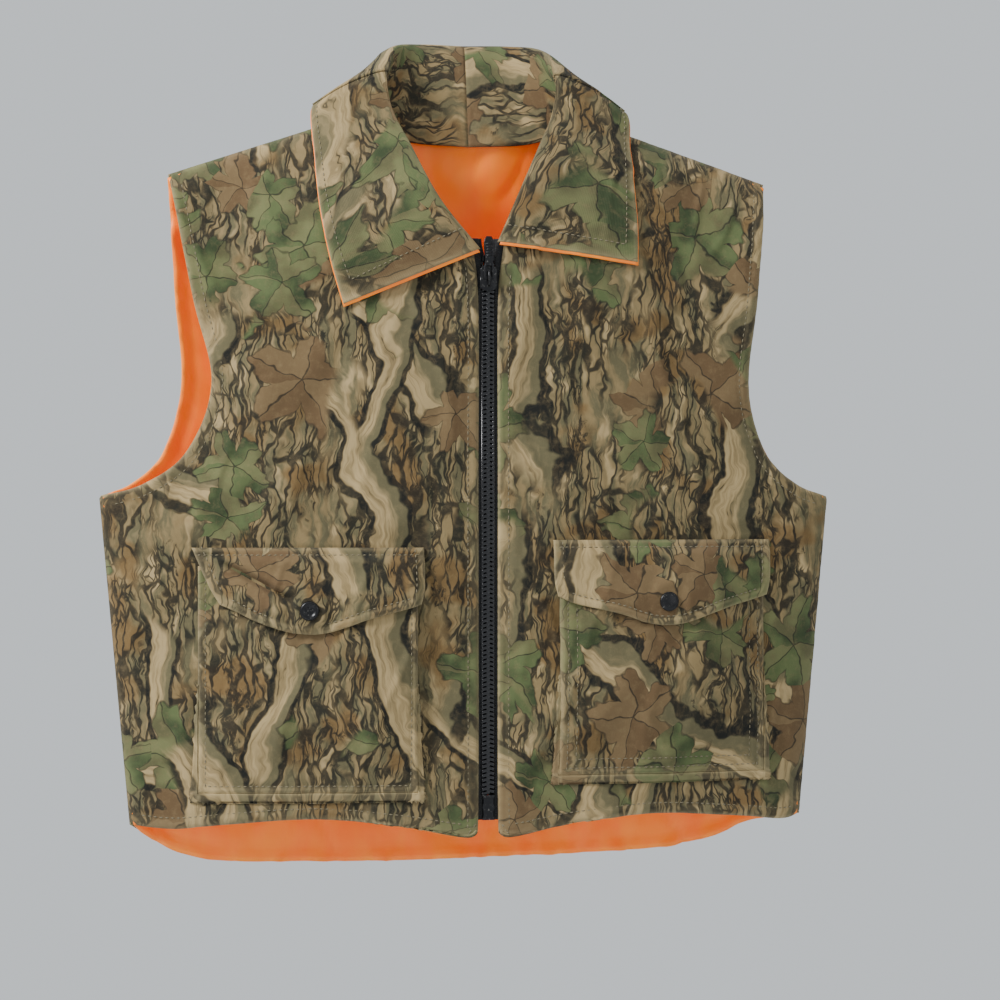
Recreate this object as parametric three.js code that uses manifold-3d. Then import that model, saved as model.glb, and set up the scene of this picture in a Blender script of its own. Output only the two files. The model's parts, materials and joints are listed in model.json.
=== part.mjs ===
// A youth-size reversible field vest with a camouflage side out and a blaze orange lining inside.
// Millimetres, +Z up. The front faces -Y and +X is the viewer's right.
// The origin is where a hanger carries the shoulders, midway between them and below the neck.

import * as THREE from 'three';
import { mergeVertices } from 'three/addons/utils/BufferGeometryUtils.js';
import Module from 'manifold-3d';

const wasm = await Module();
wasm.setup();

// Overall sizes
const CHEST_WIDTH = 412; // side seam to side seam at the underarm
const HEM_WIDTH = 378; // side seam to side seam at the hem
const SHOULDER_WIDTH = 336; // tip to tip
const NECK_WIDTH = 140; // between the neck points
const NECK_Z = 5; // height of the neck points
const TIP_Z = -28; // height of the shoulder tips
const UNDERARM_Z = -205;
const HEM_Z = -385;
const TAIL_DROP = 23; // the back hangs lower than the fronts
const TAIL_Z = HEM_Z - TAIL_DROP;
const V_Z = -66; // bottom of the front neckline
const BACK_NECK_Z = -6; // centre of the back neckline
const FRONT_DEPTH = 24; // how far the front stands out from the side seams
const BACK_DEPTH = 22;
const CHEST_DROP = 90; // below the shoulder line, where the full depth is reached
const FRONT_ARMHOLE = { left: 145, right: 156 }; // half width between the front armhole edges
const BACK_ARMHOLE = 160;

// Cloth
const SHELL = 1.4;
const LAYER_GAP = 1.2; // between shell and lining, where the zip tape is sewn in
const LINING = 0.9;
const GAP = 0.3; // between pieces that touch
const SEAM_HALF = SHELL + LAYER_GAP + LINING + 0.2;

// Zip
const ZIP_X = 6; // the fronts hang a little to one side
const ZIP_Y = -(SEAM_HALF + FRONT_DEPTH);
const TAPE_Y = ZIP_Y + SHELL + LAYER_GAP / 2;
const TAPE_WIDTH = 10;
const TAPE_THICK = LAYER_GAP - 2 * GAP;
const FRONT_EDGE = 5.4; // zip centre to the edge of a front
const LINING_EDGE = 7;
const TOOTH_PITCH = 5;
const TOOTH_HEIGHT = 1.9;
const TOOTH_REACH = 1; // past the zip's centre
const CHAIN_IN = 1.6;
const CHAIN_OUT = 3.4;
const CHAIN_THICK = 2.6;
const ZIP_TOP_GAP = 10; // neckline to the top of the chain
const ZIP_HEM_GAP = 2; // bottom of the box to the hem
const BOX_LENGTH = 14;
const BOX_WALL = 0.9; // box, in front of and behind the chain
const CHAIN_TOP = V_Z - ZIP_TOP_GAP;
const BOX_BOTTOM = HEM_Z + ZIP_HEM_GAP;
const CHAIN_BOTTOM = BOX_BOTTOM + BOX_LENGTH;
const PIN_WIDTH = 1.8;
const PIN_THICK = 2;
const PIN_OFFSET = 0.8; // zip centre to the pin

// Slider and pull tab
const SLIDER_DROP = 9; // top of the chain to the middle of the closed slider
const SLIDER_Z = CHAIN_TOP - SLIDER_DROP;
const SLIDER_LENGTH = 14;
const PLATE = 1.5;
const LIP = 0.9;
const LIP_CLEAR = 0.2; // between the chain and a lip
const SLIDER_TAPER = 0.2; // each side, from the top to the lower end
const SLIDER_ROOM = 0.5; // in front of and behind the chain
const SLIDER_WIDTH = 2 * (CHAIN_OUT + LIP_CLEAR + LIP + SLIDER_TAPER);
const FUSE = 0.2; // how far joined solids run into each other
const BAIL_WIDTH = 2;
const BAIL_THICK = 1;
const BAIL_SPAN = 8;
const BAIL_ROOM = 2.2; // height under the bail
const TAB_LENGTH = 23;
const TAB_WIDTH = 5.6;
const TAB_THICK = 1.2;
const TAB_WINDOW = 3.2;
const TAB_LEAN = THREE.MathUtils.degToRad(3); // leans back, so it rests where it is

// Pockets and flaps
const POCKET_OFFSET = 99; // zip to pocket centre
const POCKET_WIDTH = 119;
const POCKET_TOP = { left: -233, right: -229 };
const POCKET_HEM_GAP = { left: 18, right: 26 };
const POCKET_BOTTOM = { left: HEM_Z + POCKET_HEM_GAP.left, right: HEM_Z + POCKET_HEM_GAP.right };
const BAG_DEPTH = 10;
const BAG_CLOTH = 1;
const MOUTH_DROP = 10; // flap seam to pocket mouth
const FLAP_WIDTH = 126;
const FLAP_SIDE = 33;
const FLAP_CENTRE = 47;
const FLAP_CLOTH = 0.9;
const FLAP_CLEAR = 2.6; // room for the snap between flap and bag
const FLAP_RAMP = 14; // height over which the flap leaves the shell
const CORNER = 9;

// Snaps
const SNAP_DROP = 34; // flap seam to snap centre
const CAP_RADIUS = 5.4;
const CAP_HEIGHT = 2.2;
const SHANK_RADIUS = 1.6;
const SOCKET_RADIUS = 5;
const STUD_RADIUS = 4.6;
const NUB_RADIUS = 2;
const DISC = 0.8;

// Collar, for x > 0. Behind the neck points its lines have all three coordinates; in front they have
// X and Z, and follow the front's surface
const COLLAR_CLOTH = 0.9;
const ROLL_BACK = [[0, 27, 50], [25, 24, 50], [42, 11, 46], [48, -5, 31]];
const ROLL_FRONT = [[46, 11], [36, -11], [21, -42]];
const SEAM_BACK = [[0, 11, -5], [34, 9, -3], [57, 5, 3], [66, -1, 7]];
const SEAM_FRONT = [[61, -1], [46, -22], [26, -43]];
const EDGE_BACK = [[0, 30, 0], [34, 28, 0], [68, 17, 3], [88, 3, 11]];
const WING_TOP = [88, -2, 13]; // where the wing meets the back fall
const WING_TIP = { left: [74, -100], right: [90, -75] };
const WING_LOW = { left: V_Z - 3, right: V_Z + 1 }; // where the roll lines end, near the zip
const WING_REST = 4; // from the front's cloth to the wing, so the roll line stands off by this much
const COLLAR_END = 5; // zip centre to the end of the roll line

// Front fold: each front swings open about a line from the shoulder to the side of the hem
const FOLD_TOP = { left: 95, right: 107 };
const FOLD_SLOPE = 0.272;

const signOf = { left: -1, right: 1 };
const clamp = THREE.MathUtils.clamp;
const lerp = THREE.MathUtils.lerp;

const shoulderX = SHOULDER_WIDTH / 2;
const neckX = NECK_WIDTH / 2;
const shoulderSlope = (NECK_Z - TIP_Z) / (shoulderX - neckX);

function halfWidth(z) {
  const t = clamp((UNDERARM_Z - z) / (UNDERARM_Z - HEM_Z), 0, 1);
  return lerp(CHEST_WIDTH, HEM_WIDTH, t) / 2;
}

function shoulderLine(x) {
  const ROUND = 20;
  return NECK_Z - (Math.hypot(x, ROUND) - Math.hypot(neckX, ROUND)) * shoulderSlope;
}

// 0 at the side seams and the shoulder seams, 1 over the middle of the chest
function bulge(x, z) {
  const across = 1 - Math.pow(Math.min(Math.abs(x) / halfWidth(z), 1), 2.2);
  const down = Math.sin(Math.PI / 2 * clamp((shoulderLine(x) - z) / CHEST_DROP, 0, 1));
  return across * down;
}

const frontY = (x, z) => -(SEAM_HALF + FRONT_DEPTH * bulge(x, z));
const backY = (x, z) => SEAM_HALF + BACK_DEPTH * bulge(x, z);

// --- solids ---------------------------------------------------------------------------------------

function toSolid(geometry) {
  geometry.deleteAttribute('normal');
  geometry.deleteAttribute('uv');
  const merged = mergeVertices(geometry, 1e-4);
  const position = merged.getAttribute('position').array;
  const index = merged.getIndex().array;
  const triangles = [];
  for (let i = 0; i < index.length; i += 3) {
    const [a, b, c] = [index[i], index[i + 1], index[i + 2]];
    if (a !== b && b !== c && c !== a) triangles.push(a, b, c);
  }
  const build = (order) => new wasm.Manifold(new wasm.Mesh({
    numProp: 3,
    vertProperties: new Float32Array(position),
    triVerts: new Uint32Array(order),
  }));
  const first = build(triangles);
  if (first.volume() > 0) return first;
  for (let i = 0; i < triangles.length; i += 3) {
    [triangles[i], triangles[i + 1]] = [triangles[i + 1], triangles[i]];
  }
  return build(triangles);
}

function toGeometry(solid) {
  const mesh = solid.getMesh();
  const geometry = new THREE.BufferGeometry();
  geometry.setAttribute('position', new THREE.BufferAttribute(new Float32Array(mesh.vertProperties), 3));
  geometry.setIndex(new THREE.BufferAttribute(new Uint32Array(mesh.triVerts), 1));
  geometry.computeVertexNormals();
  return geometry;
}

// A block whose corners are lowest and highest
function block(lowest, highest) {
  const low = new THREE.Vector3(...lowest);
  const high = new THREE.Vector3(...highest);
  const size = high.clone().sub(low);
  const middle = low.add(high).multiplyScalar(0.5);
  return toSolid(new THREE.BoxGeometry(size.x, size.y, size.z).translate(middle.x, middle.y, middle.z));
}

// An outline drawn in X and Z, extruded along Y from y0 to y1
function upright(shape, y0, y1, curveSegments = 3) {
  const geometry = new THREE.ExtrudeGeometry(shape, { depth: y1 - y0, bevelEnabled: false, curveSegments });
  return toSolid(geometry.rotateX(Math.PI / 2).translate(0, y1, 0));
}

const THROUGH = 90;
const through = (shape) => upright(shape, -THROUGH, THROUGH);

// Cloth between two offsets of a surface; an offset is measured inward from it.
// place turns shares across and down the cloth, 0 to 1, into X and Z
function slab(surface, inward, near, far, place, cells) {
  const geometry = new THREE.BoxGeometry(1, 1, 1, cells[0], 1, cells[1]);
  const position = geometry.getAttribute('position');
  for (let i = 0; i < position.count; i += 1) {
    const [x, z] = place(position.getX(i) + 0.5, 0.5 - position.getZ(i));
    const isOuter = position.getY(i) * inward < 0;
    const offset = isOuter ? near(x, z) : far(x, z);
    position.setXYZ(i, x, surface(x, z) + inward * offset, z);
  }
  return toSolid(geometry);
}

const flat = (value) => () => value;
const frontSlab = (near, far, place, cells) => slab(frontY, 1, near, far, place, cells);
const backSlab = (near, far, place, cells) => slab(backY, -1, near, far, place, cells);

// A rectangle of cloth
function rectangle(x0, x1, z0, z1) {
  return (across, down) => [lerp(x0, x1, across), lerp(z1, z0, down)];
}

// A body panel between x0 and x1 at the chest: it narrows with the side seams, and its rows are closest
// at the shoulders, where it curves most
function panelArea(x0, x1) {
  const top = NECK_Z + 5;
  const bottom = TAIL_Z - 5;
  return (across, down) => {
    const z = lerp(top, bottom, Math.pow(down, 1.5));
    return [lerp(x0, x1, across) * halfWidth(z) / (CHEST_WIDTH / 2), z];
  };
}

// A thin closed sheet over a surface point(u, v), u and v from 0 to 1, between two heights along its normal
function sheet(point, from, to, cells) {
  const STEP = 1e-3;
  const geometry = new THREE.BoxGeometry(1, 1, 1, cells[0], cells[1], 1);
  const position = geometry.getAttribute('position');
  for (let i = 0; i < position.count; i += 1) {
    const u = position.getX(i) + 0.5;
    const v = position.getY(i) + 0.5;
    const along = point(Math.min(u + STEP, 1), v).sub(point(Math.max(u - STEP, 0), v));
    const over = point(u, Math.min(v + STEP, 1)).sub(point(u, Math.max(v - STEP, 0)));
    const normal = along.cross(over).normalize();
    const place = point(u, v).addScaledVector(normal, lerp(from, to, position.getZ(i) + 0.5));
    position.setXYZ(i, place.x, place.y, place.z);
  }
  return toSolid(geometry);
}

// A turned solid from [radius, outward] pairs; outward is towards -Y
function turned(profile, segments = 20) {
  const points = profile.map(([radius, out]) => new THREE.Vector2(radius, out));
  return toSolid(new THREE.LatheGeometry(points, segments).rotateZ(Math.PI));
}

const vest = new THREE.Group();

function addPiece(name, solid, material, group = vest) {
  const piece = new THREE.Mesh(toGeometry(solid), material);
  piece.name = name;
  group.add(piece);
  return piece;
}

const camo = () => new THREE.MeshStandardMaterial({ color: 0x8f8468, roughness: 0.9, metalness: 0 });
const orange = () => new THREE.MeshStandardMaterial({ color: 0xff5a12, roughness: 0.55, metalness: 0 });
const blackCloth = () => new THREE.MeshStandardMaterial({ color: 0x141414, roughness: 0.8, metalness: 0 });
const blackPlastic = () => new THREE.MeshStandardMaterial({ color: 0x111111, roughness: 0.3, metalness: 0 });
const blackMetal = () => new THREE.MeshStandardMaterial({ color: 0x1c1c1e, roughness: 0.35, metalness: 0.8 });

// --- outlines -------------------------------------------------------------------------------------

const points2 = (list) => list.map(([x, z]) => new THREE.Vector2(x, z));

// From the shoulder tip down the armhole to the underarm; halfGap is the half width between the edges
function armhole(shape, sign, halfGap) {
  const side = CHEST_WIDTH / 2;
  shape.splineThru(points2([
    [sign * lerp(shoulderX, halfGap, 0.55), lerp(TIP_Z, UNDERARM_Z, 0.38)],
    [sign * halfGap, lerp(TIP_Z, UNDERARM_Z, 0.65)],
    [sign * lerp(halfGap, side, 0.22), lerp(TIP_Z, UNDERARM_Z, 0.86)],
    [sign * lerp(halfGap, side, 0.6), lerp(TIP_Z, UNDERARM_Z, 0.96)],
    [sign * side, UNDERARM_Z],
  ]));
}

function frontOutline(side, edge) {
  const sign = signOf[side];
  const edgeX = ZIP_X + sign * edge;
  const shape = new THREE.Shape();
  shape.moveTo(edgeX, HEM_Z + CORNER / 2);
  shape.lineTo(edgeX, V_Z);
  shape.splineThru(points2([
    [sign * 30, lerp(V_Z, NECK_Z, 0.3)],
    [sign * 55, lerp(V_Z, NECK_Z, 0.65)],
    [sign * neckX, NECK_Z],
  ]));
  shape.lineTo(sign * shoulderX, TIP_Z);
  armhole(shape, sign, FRONT_ARMHOLE[side]);
  shape.lineTo(sign * HEM_WIDTH / 2, HEM_Z);
  shape.lineTo(edgeX + sign * CORNER, HEM_Z);
  shape.quadraticCurveTo(edgeX, HEM_Z, edgeX, HEM_Z + CORNER / 2);
  return shape;
}

function backOutline() {
  const shape = new THREE.Shape();
  const hemX = HEM_WIDTH / 2;
  const TAIL_IN = 40; // over this width the side of the hem curves down into the tail
  shape.moveTo(-hemX, HEM_Z);
  shape.quadraticCurveTo(-hemX + TAIL_IN / 2, TAIL_Z, -hemX + 2 * TAIL_IN, TAIL_Z);
  shape.lineTo(hemX - 2 * TAIL_IN, TAIL_Z);
  shape.quadraticCurveTo(hemX - TAIL_IN / 2, TAIL_Z, hemX, HEM_Z);
  shape.lineTo(CHEST_WIDTH / 2, UNDERARM_Z);
  const right = new THREE.Shape();
  right.moveTo(shoulderX, TIP_Z);
  armhole(right, 1, BACK_ARMHOLE);
  const edge = right.getPoints(4);
  edge.slice(0, -1).reverse().forEach((p) => shape.lineTo(p.x, p.y));
  shape.lineTo(neckX, NECK_Z);
  shape.quadraticCurveTo(neckX * 0.6, BACK_NECK_Z, 0, BACK_NECK_Z);
  shape.quadraticCurveTo(-neckX * 0.6, BACK_NECK_Z, -neckX, NECK_Z);
  edge.forEach((p) => shape.lineTo(-p.x, p.y));
  return shape;
}

// The half plane on the zip side of a front's fold line, moved outward by shift
function foldSide(side, shift) {
  const sign = signOf[side];
  const REACH = 600;
  const foldX = (z) => sign * (FOLD_TOP[side] - FOLD_SLOPE * z + shift);
  const shape = new THREE.Shape();
  shape.moveTo(foldX(REACH), REACH);
  shape.lineTo(foldX(-REACH), -REACH);
  shape.lineTo(-sign * REACH, -REACH);
  shape.lineTo(-sign * REACH, REACH);
  return through(shape);
}

// --- body panels ----------------------------------------------------------------------------------

function makeBack() {
  const cells = [8, 16];
  const halves = [1, -1].map((sign) => panelArea(0, sign * CHEST_WIDTH / 2));
  const layer = (near, far) => halves
    .map((half) => backSlab(flat(near), flat(far), half, cells))
    .reduce((sum, half) => sum.add(half));
  const cut = through(backOutline());
  const liningNear = SHELL + LAYER_GAP;
  addPiece('back_shell', layer(0, SHELL).intersect(cut), camo());
  addPiece('back_lining', layer(liningNear, liningNear + LINING).intersect(cut), orange());
}

const FRONT_CELLS = [8, 16];

function frontArea(side) {
  return panelArea(signOf[side] * CHEST_WIDTH / 2, -signOf[side] * (FRONT_EDGE + ZIP_X));
}

function makeFront(side) {
  const inner = foldSide(side, -GAP / 2);
  const outer = foldSide(side, GAP / 2);
  const liningNear = SHELL + LAYER_GAP;
  const layers = [
    ['shell', 0, SHELL, FRONT_EDGE, camo],
    ['lining', liningNear, liningNear + LINING, LINING_EDGE, orange],
  ];
  for (const [layer, near, far, edge, material] of layers) {
    const cloth = frontSlab(flat(near), flat(far), frontArea(side), FRONT_CELLS);
    const panel = cloth.intersect(through(frontOutline(side, edge)));
    addPiece(`front_${layer}_${side}`, panel.intersect(inner), material());
    const rest = panel.subtract(outer).decompose();
    rest.sort((a, b) => b.volume() - a.volume());
    addPiece(`side_${layer}_${side}`, rest[0], material());
  }
}

// --- collar ---------------------------------------------------------------------------------------

const vectors = (list, sign = 1) => list.map(([x, y, z]) => new THREE.Vector3(sign * x, y, z));

// A curve from the left neck side round the back to the right one
function backCurve(list) {
  const right = vectors(list);
  const left = vectors(list.slice(1), -1).reverse();
  return new THREE.CatmullRomCurve3([...left, ...right]);
}

function ruled(first, second) {
  return (u, v) => first.getPoint(u).lerp(second.getPoint(u), v);
}

function makeCollarBack() {
  const roll = backCurve(ROLL_BACK);
  const seam = backCurve(SEAM_BACK);
  const edge = backCurve(EDGE_BACK);
  const ROLL_HALF = 1.2; // half the thickness of the folded collar along its roll
  const CROWN = 4; // the fall rounds outward between roll and edge
  const fall = (u, v) => {
    const place = ruled(roll, edge)(u, v);
    const out = new THREE.Vector3(place.x, place.y, 0).normalize();
    return place.addScaledVector(out, ROLL_HALF + CROWN * 4 * v * (1 - v));
  };
  const stand = (u, v) => {
    const place = ruled(roll, seam)(u, v);
    const inward = new THREE.Vector3(-place.x, -place.y, 0).normalize();
    return place.addScaledVector(inward, ROLL_HALF * (1 - v));
  };
  addPiece('collar_fall_back', sheet(fall, -SHELL / 2, SHELL / 2, [16, 4]), camo());
  addPiece('collar_stand_back', sheet(stand, -COLLAR_CLOTH / 2, COLLAR_CLOTH / 2, [16, 3]), orange());
}

// A line down one side of the neckline, lift away from the front's outer surface, ending at [x, z]
function frontCurve(side, first, list, end, lift) {
  const sign = signOf[side];
  const onFront = (x, z) => new THREE.Vector3(x, frontY(x, z) - lift, z);
  const [start] = vectors([first], sign);
  return new THREE.CatmullRomCurve3([
    start, ...list.map(([x, z]) => onFront(sign * x, z)), onFront(...end),
  ]);
}

const rollCurve = (side) => frontCurve(
  side, ROLL_BACK.at(-1), ROLL_FRONT, [ZIP_X + signOf[side] * COLLAR_END, WING_LOW[side]], WING_REST,
);

// The wing lies on the front from the roll line to the outer edge, u from the neck side to the lower edge
function wingPoint(side) {
  const SOFT = 1; // rounds the line where it settles onto the front
  const sign = signOf[side];
  const tip = WING_TIP[side];
  const roll = rollCurve(side);
  const top = new THREE.Vector3(sign * WING_TOP[0], WING_TOP[1], WING_TOP[2]);
  const end = new THREE.Vector3(sign * tip[0], 0, tip[1]);
  const restY = (place) => frontY(place.x, place.z) - WING_REST;
  return (u, v) => {
    const outer = top.clone().lerp(end, u);
    outer.y = lerp(top.y, restY(outer), THREE.MathUtils.smoothstep(u, 0, 0.3));
    const place = roll.getPoint(u).lerp(outer, v);
    const rest = restY(place);
    place.y = Math.min(place.y, rest) - SOFT * Math.log1p(Math.exp(-Math.abs(place.y - rest) / SOFT));
    return place;
  };
}

function makeCollarFront(side) {
  const sign = signOf[side];
  const shift = sign * (COLLAR_CLOTH + 2 * GAP);
  const cloth = sign * COLLAR_CLOTH;
  const SPLIT = 0.04; // kept clear of the back collar
  const trimmed = (point) => (u, v) => point(lerp(SPLIT, 1, u), v);
  const wing = trimmed(wingPoint(side));
  addPiece(`collar_wing_${side}`, sheet(wing, shift, shift + cloth, [10, 6]), camo());
  addPiece(`collar_under_${side}`, sheet(wing, 0, cloth, [10, 6]), orange());

  const ROLL_CLEAR = 0.6; // from the wing, along the roll line
  const STAND_END = 0.92; // the stand stops short of the zip
  const seamEnd = [ZIP_X + sign * COLLAR_END, WING_LOW[side]];
  const seamDepth = SHELL + LAYER_GAP + LINING + COLLAR_CLOTH / 2 + GAP;
  const seam = frontCurve(side, SEAM_BACK.at(-1), SEAM_FRONT, seamEnd, -seamDepth);
  const roll = rollCurve(side);
  const stand = (u, v) => {
    const place = ruled(roll, seam)(lerp(SPLIT, STAND_END, u), v);
    place.x -= sign * ROLL_CLEAR;
    place.y += ROLL_CLEAR * (1 - v);
    return place;
  };
  const half = COLLAR_CLOTH / 2;
  addPiece(`collar_stand_${side}`, sheet(stand, -half, half, [10, 3]), orange());
}

// --- pockets, flaps and snaps ---------------------------------------------------------------------

const pocketX = (side) => ZIP_X + signOf[side] * POCKET_OFFSET;

function roundedBottom(x0, x1, top, bottom, radius) {
  const shape = new THREE.Shape();
  shape.moveTo(x0, top);
  shape.lineTo(x0, bottom + radius);
  shape.quadraticCurveTo(x0, bottom, x0 + radius, bottom);
  shape.lineTo(x1 - radius, bottom);
  shape.quadraticCurveTo(x1, bottom, x1, bottom + radius);
  shape.lineTo(x1, top);
  return shape;
}

function flapOutline(side) {
  const middle = pocketX(side);
  const half = FLAP_WIDTH / 2;
  const top = POCKET_TOP[side];
  const shape = new THREE.Shape();
  shape.moveTo(middle - half, top);
  shape.lineTo(middle - half, top - FLAP_SIDE + CORNER);
  shape.quadraticCurveTo(middle - half, top - FLAP_SIDE, middle - half + CORNER, top - FLAP_SIDE);
  shape.quadraticCurveTo(middle - half / 2, top - FLAP_CENTRE, middle, top - FLAP_CENTRE);
  shape.quadraticCurveTo(middle + half / 2, top - FLAP_CENTRE, middle + half - CORNER, top - FLAP_SIDE);
  shape.quadraticCurveTo(middle + half, top - FLAP_SIDE, middle + half, top - FLAP_SIDE + CORNER);
  shape.lineTo(middle + half, top);
  return shape;
}

// A snap's turned piece, set on the pocket's face and turned to the slope of the cloth.
// The profile takes the flap's distance from the pocket, which the slope shortens
function onSnap(side, profile) {
  const x = pocketX(side);
  const z = POCKET_TOP[side] - SNAP_DROP;
  const slope = Math.atan((frontY(x + 1, z) - frontY(x - 1, z)) / 2);
  const place = new THREE.Matrix4().makeTranslation(x, frontY(x, z) - BAG_DEPTH, z);
  place.multiply(new THREE.Matrix4().makeRotationZ(slope));
  const solid = turned(profile(Math.cos(slope)));
  return toSolid(toGeometry(solid).applyMatrix4(place));
}

function makePocket(side) {
  const middle = pocketX(side);
  const half = POCKET_WIDTH / 2;
  const top = POCKET_TOP[side];
  const mouth = top - MOUTH_DROP;
  const bottom = POCKET_BOTTOM[side];
  const SIDE_SPARE = 4.5; // cloth drawn past the outlines that trim it
  const END_SPARE = 8;
  const reach = Math.max(half, FLAP_WIDTH / 2) + SIDE_SPARE;
  const area = rectangle(middle - reach, middle + reach, bottom - END_SPARE, top + END_SPARE);
  const ROW = 25; // of the bag's facets, the flap's are finer
  const FLAP_ROW = 21.4;
  const height = top - bottom + 2 * END_SPARE;
  const cells = [8, Math.round(height / ROW)];
  const bagOuter = through(roundedBottom(middle - half, middle + half, mouth, bottom, CORNER));
  const room = roundedBottom(
    middle - half + BAG_CLOTH, middle + half - BAG_CLOTH, mouth + MOUTH_DROP, bottom + BAG_CLOTH, CORNER,
  );
  const hole = SHANK_RADIUS + GAP;
  const shankHole = onSnap(side, () => [[0, -4], [hole, -4], [hole, 8], [0, 8]]);
  const bag = frontSlab(flat(-BAG_DEPTH), flat(-GAP), area, cells)
    .intersect(bagOuter)
    .subtract(frontSlab(flat(-BAG_DEPTH + BAG_CLOTH), flat(GAP), area, cells).intersect(through(room)))
    .subtract(shankHole);
  addPiece(`pocket_bag_${side}`, bag, camo());

  const flapGap = FLAP_CLOTH + GAP;
  const ramp = (z) => THREE.MathUtils.smoothstep(top - z, 0, FLAP_RAMP);
  const inner = (x, z) => lerp(1, BAG_DEPTH + FLAP_CLEAR, ramp(z));
  const layer = (first) => frontSlab(
    (x, z) => -(inner(x, z) + first + FLAP_CLOTH),
    (x, z) => -(inner(x, z) + first),
    area, [8, Math.round(height / FLAP_ROW)],
  );
  const outline = through(flapOutline(side));
  addPiece(`flap_lining_${side}`, layer(0).intersect(outline).subtract(shankHole), camo());
  addPiece(`flap_shell_${side}`, layer(flapGap).intersect(outline).subtract(shankHole), camo());
  makeSnap(side, flapGap + FLAP_CLOTH);
}

function makeSnap(side, flapThick) {
  const CAP_EDGE = 0.9;
  const cap = (share) => {
    const foot = (FLAP_CLEAR + flapThick) * share + GAP;
    return [
      [0, foot - flapThick], [SHANK_RADIUS, foot - flapThick], [SHANK_RADIUS, foot], [CAP_RADIUS, foot],
      [CAP_RADIUS, foot + CAP_EDGE], [CAP_RADIUS * 0.8, foot + CAP_HEIGHT * 0.8],
      [CAP_RADIUS * 0.4, foot + CAP_HEIGHT], [0, foot + CAP_HEIGHT],
    ];
  };
  addPiece(`snap_cap_${side}`, onSnap(side, cap), blackMetal());

  const socket = (share) => {
    const top = FLAP_CLEAR * share - GAP;
    const bore = NUB_RADIUS + GAP;
    return [[bore, top - DISC], [SOCKET_RADIUS, top - DISC], [SOCKET_RADIUS, top], [bore, top],
      [bore, top - DISC]];
  };
  addPiece(`snap_socket_${side}`, onSnap(side, socket), blackMetal());

  const stud = (share) => {
    const nubTop = FLAP_CLEAR * share - 2 * GAP;
    return [[0, GAP], [STUD_RADIUS, GAP], [STUD_RADIUS, GAP + DISC], [NUB_RADIUS, GAP + DISC],
      [NUB_RADIUS, nubTop], [0, nubTop]];
  };
  addPiece(`snap_stud_${side}`, onSnap(side, stud), blackMetal());

  const post = () => {
    const foot = -BAG_CLOTH - GAP;
    return [[0, foot - DISC], [STUD_RADIUS, foot - DISC], [STUD_RADIUS, foot], [SHANK_RADIUS, foot],
      [SHANK_RADIUS, 0], [0, 0]];
  };
  addPiece(`snap_post_${side}`, onSnap(side, post), blackMetal());
}

// --- zip ------------------------------------------------------------------------------------------

function makeZipSide(side) {
  const sign = signOf[side];
  const at = (distance) => ZIP_X + sign * distance;
  const between = (d0, d1) => [Math.min(at(d0), at(d1)), Math.max(at(d0), at(d1))];
  const comb = new THREE.Shape();
  comb.moveTo(at(CHAIN_OUT), CHAIN_BOTTOM);
  comb.lineTo(at(CHAIN_IN), CHAIN_BOTTOM);
  const offset = sign > 0 ? TOOTH_PITCH / 2 : 0;
  const count = Math.floor((CHAIN_TOP - CHAIN_BOTTOM - offset) / TOOTH_PITCH);
  for (let i = 0; i < count; i += 1) {
    const z = CHAIN_BOTTOM + offset + i * TOOTH_PITCH + GAP;
    comb.lineTo(at(CHAIN_IN), z);
    comb.lineTo(at(-TOOTH_REACH), z);
    comb.lineTo(at(-TOOTH_REACH), z + TOOTH_HEIGHT);
    comb.lineTo(at(CHAIN_IN), z + TOOTH_HEIGHT);
  }
  comb.lineTo(at(CHAIN_IN), CHAIN_TOP);
  comb.lineTo(at(CHAIN_OUT), CHAIN_TOP);
  const chainFront = TAPE_Y - CHAIN_THICK / 2;
  addPiece(`zip_chain_${side}`, upright(comb, chainFront, chainFront + CHAIN_THICK), blackPlastic());

  const TOP_DROP = 3;
  const [t0, t1] = between(CHAIN_OUT + GAP, CHAIN_OUT + GAP + TAPE_WIDTH);
  const strip = block([t0, -THROUGH, BOX_BOTTOM], [t1, THROUGH, V_Z - TOP_DROP]);
  const tape = frontSlab(flat(SHELL + GAP), flat(SHELL + LAYER_GAP - GAP), frontArea(side), FRONT_CELLS);
  addPiece(`zip_tape_${side}`, tape.intersect(strip), blackCloth());

  const STOP_HEIGHT = 3.5;
  const [s0, s1] = between(CHAIN_IN, CHAIN_OUT);
  const stopFoot = CHAIN_TOP + GAP;
  const stop = block([s0, chainFront, stopFoot], [s1, chainFront + CHAIN_THICK, stopFoot + STOP_HEIGHT]);
  addPiece(`top_stop_${side}`, stop, blackMetal());
}

function makeZipEnd() {
  const boxTop = CHAIN_BOTTOM - GAP;
  const FLOOR = 2;
  const halfThick = CHAIN_THICK / 2 + BOX_WALL;
  const slotHalf = PIN_THICK / 2 + GAP;
  const pinLow = BOX_BOTTOM + FLOOR + GAP;
  const pin0 = ZIP_X + PIN_OFFSET;
  const left = ZIP_X - CHAIN_OUT;
  const right = ZIP_X + CHAIN_OUT;
  const body = block([left, TAPE_Y - halfThick, BOX_BOTTOM], [right, TAPE_Y + halfThick, boxTop]);
  const slot = block(
    [pin0 - GAP, TAPE_Y - slotHalf, BOX_BOTTOM + FLOOR], [right + 1, TAPE_Y + slotHalf, boxTop + 1],
  );
  addPiece('zip_box', body.subtract(slot), blackMetal());
  const pin = block(
    [pin0, TAPE_Y - PIN_THICK / 2, pinLow], [pin0 + PIN_WIDTH, TAPE_Y + PIN_THICK / 2, boxTop],
  );
  addPiece('zip_pin', pin, blackMetal());
}

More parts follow.
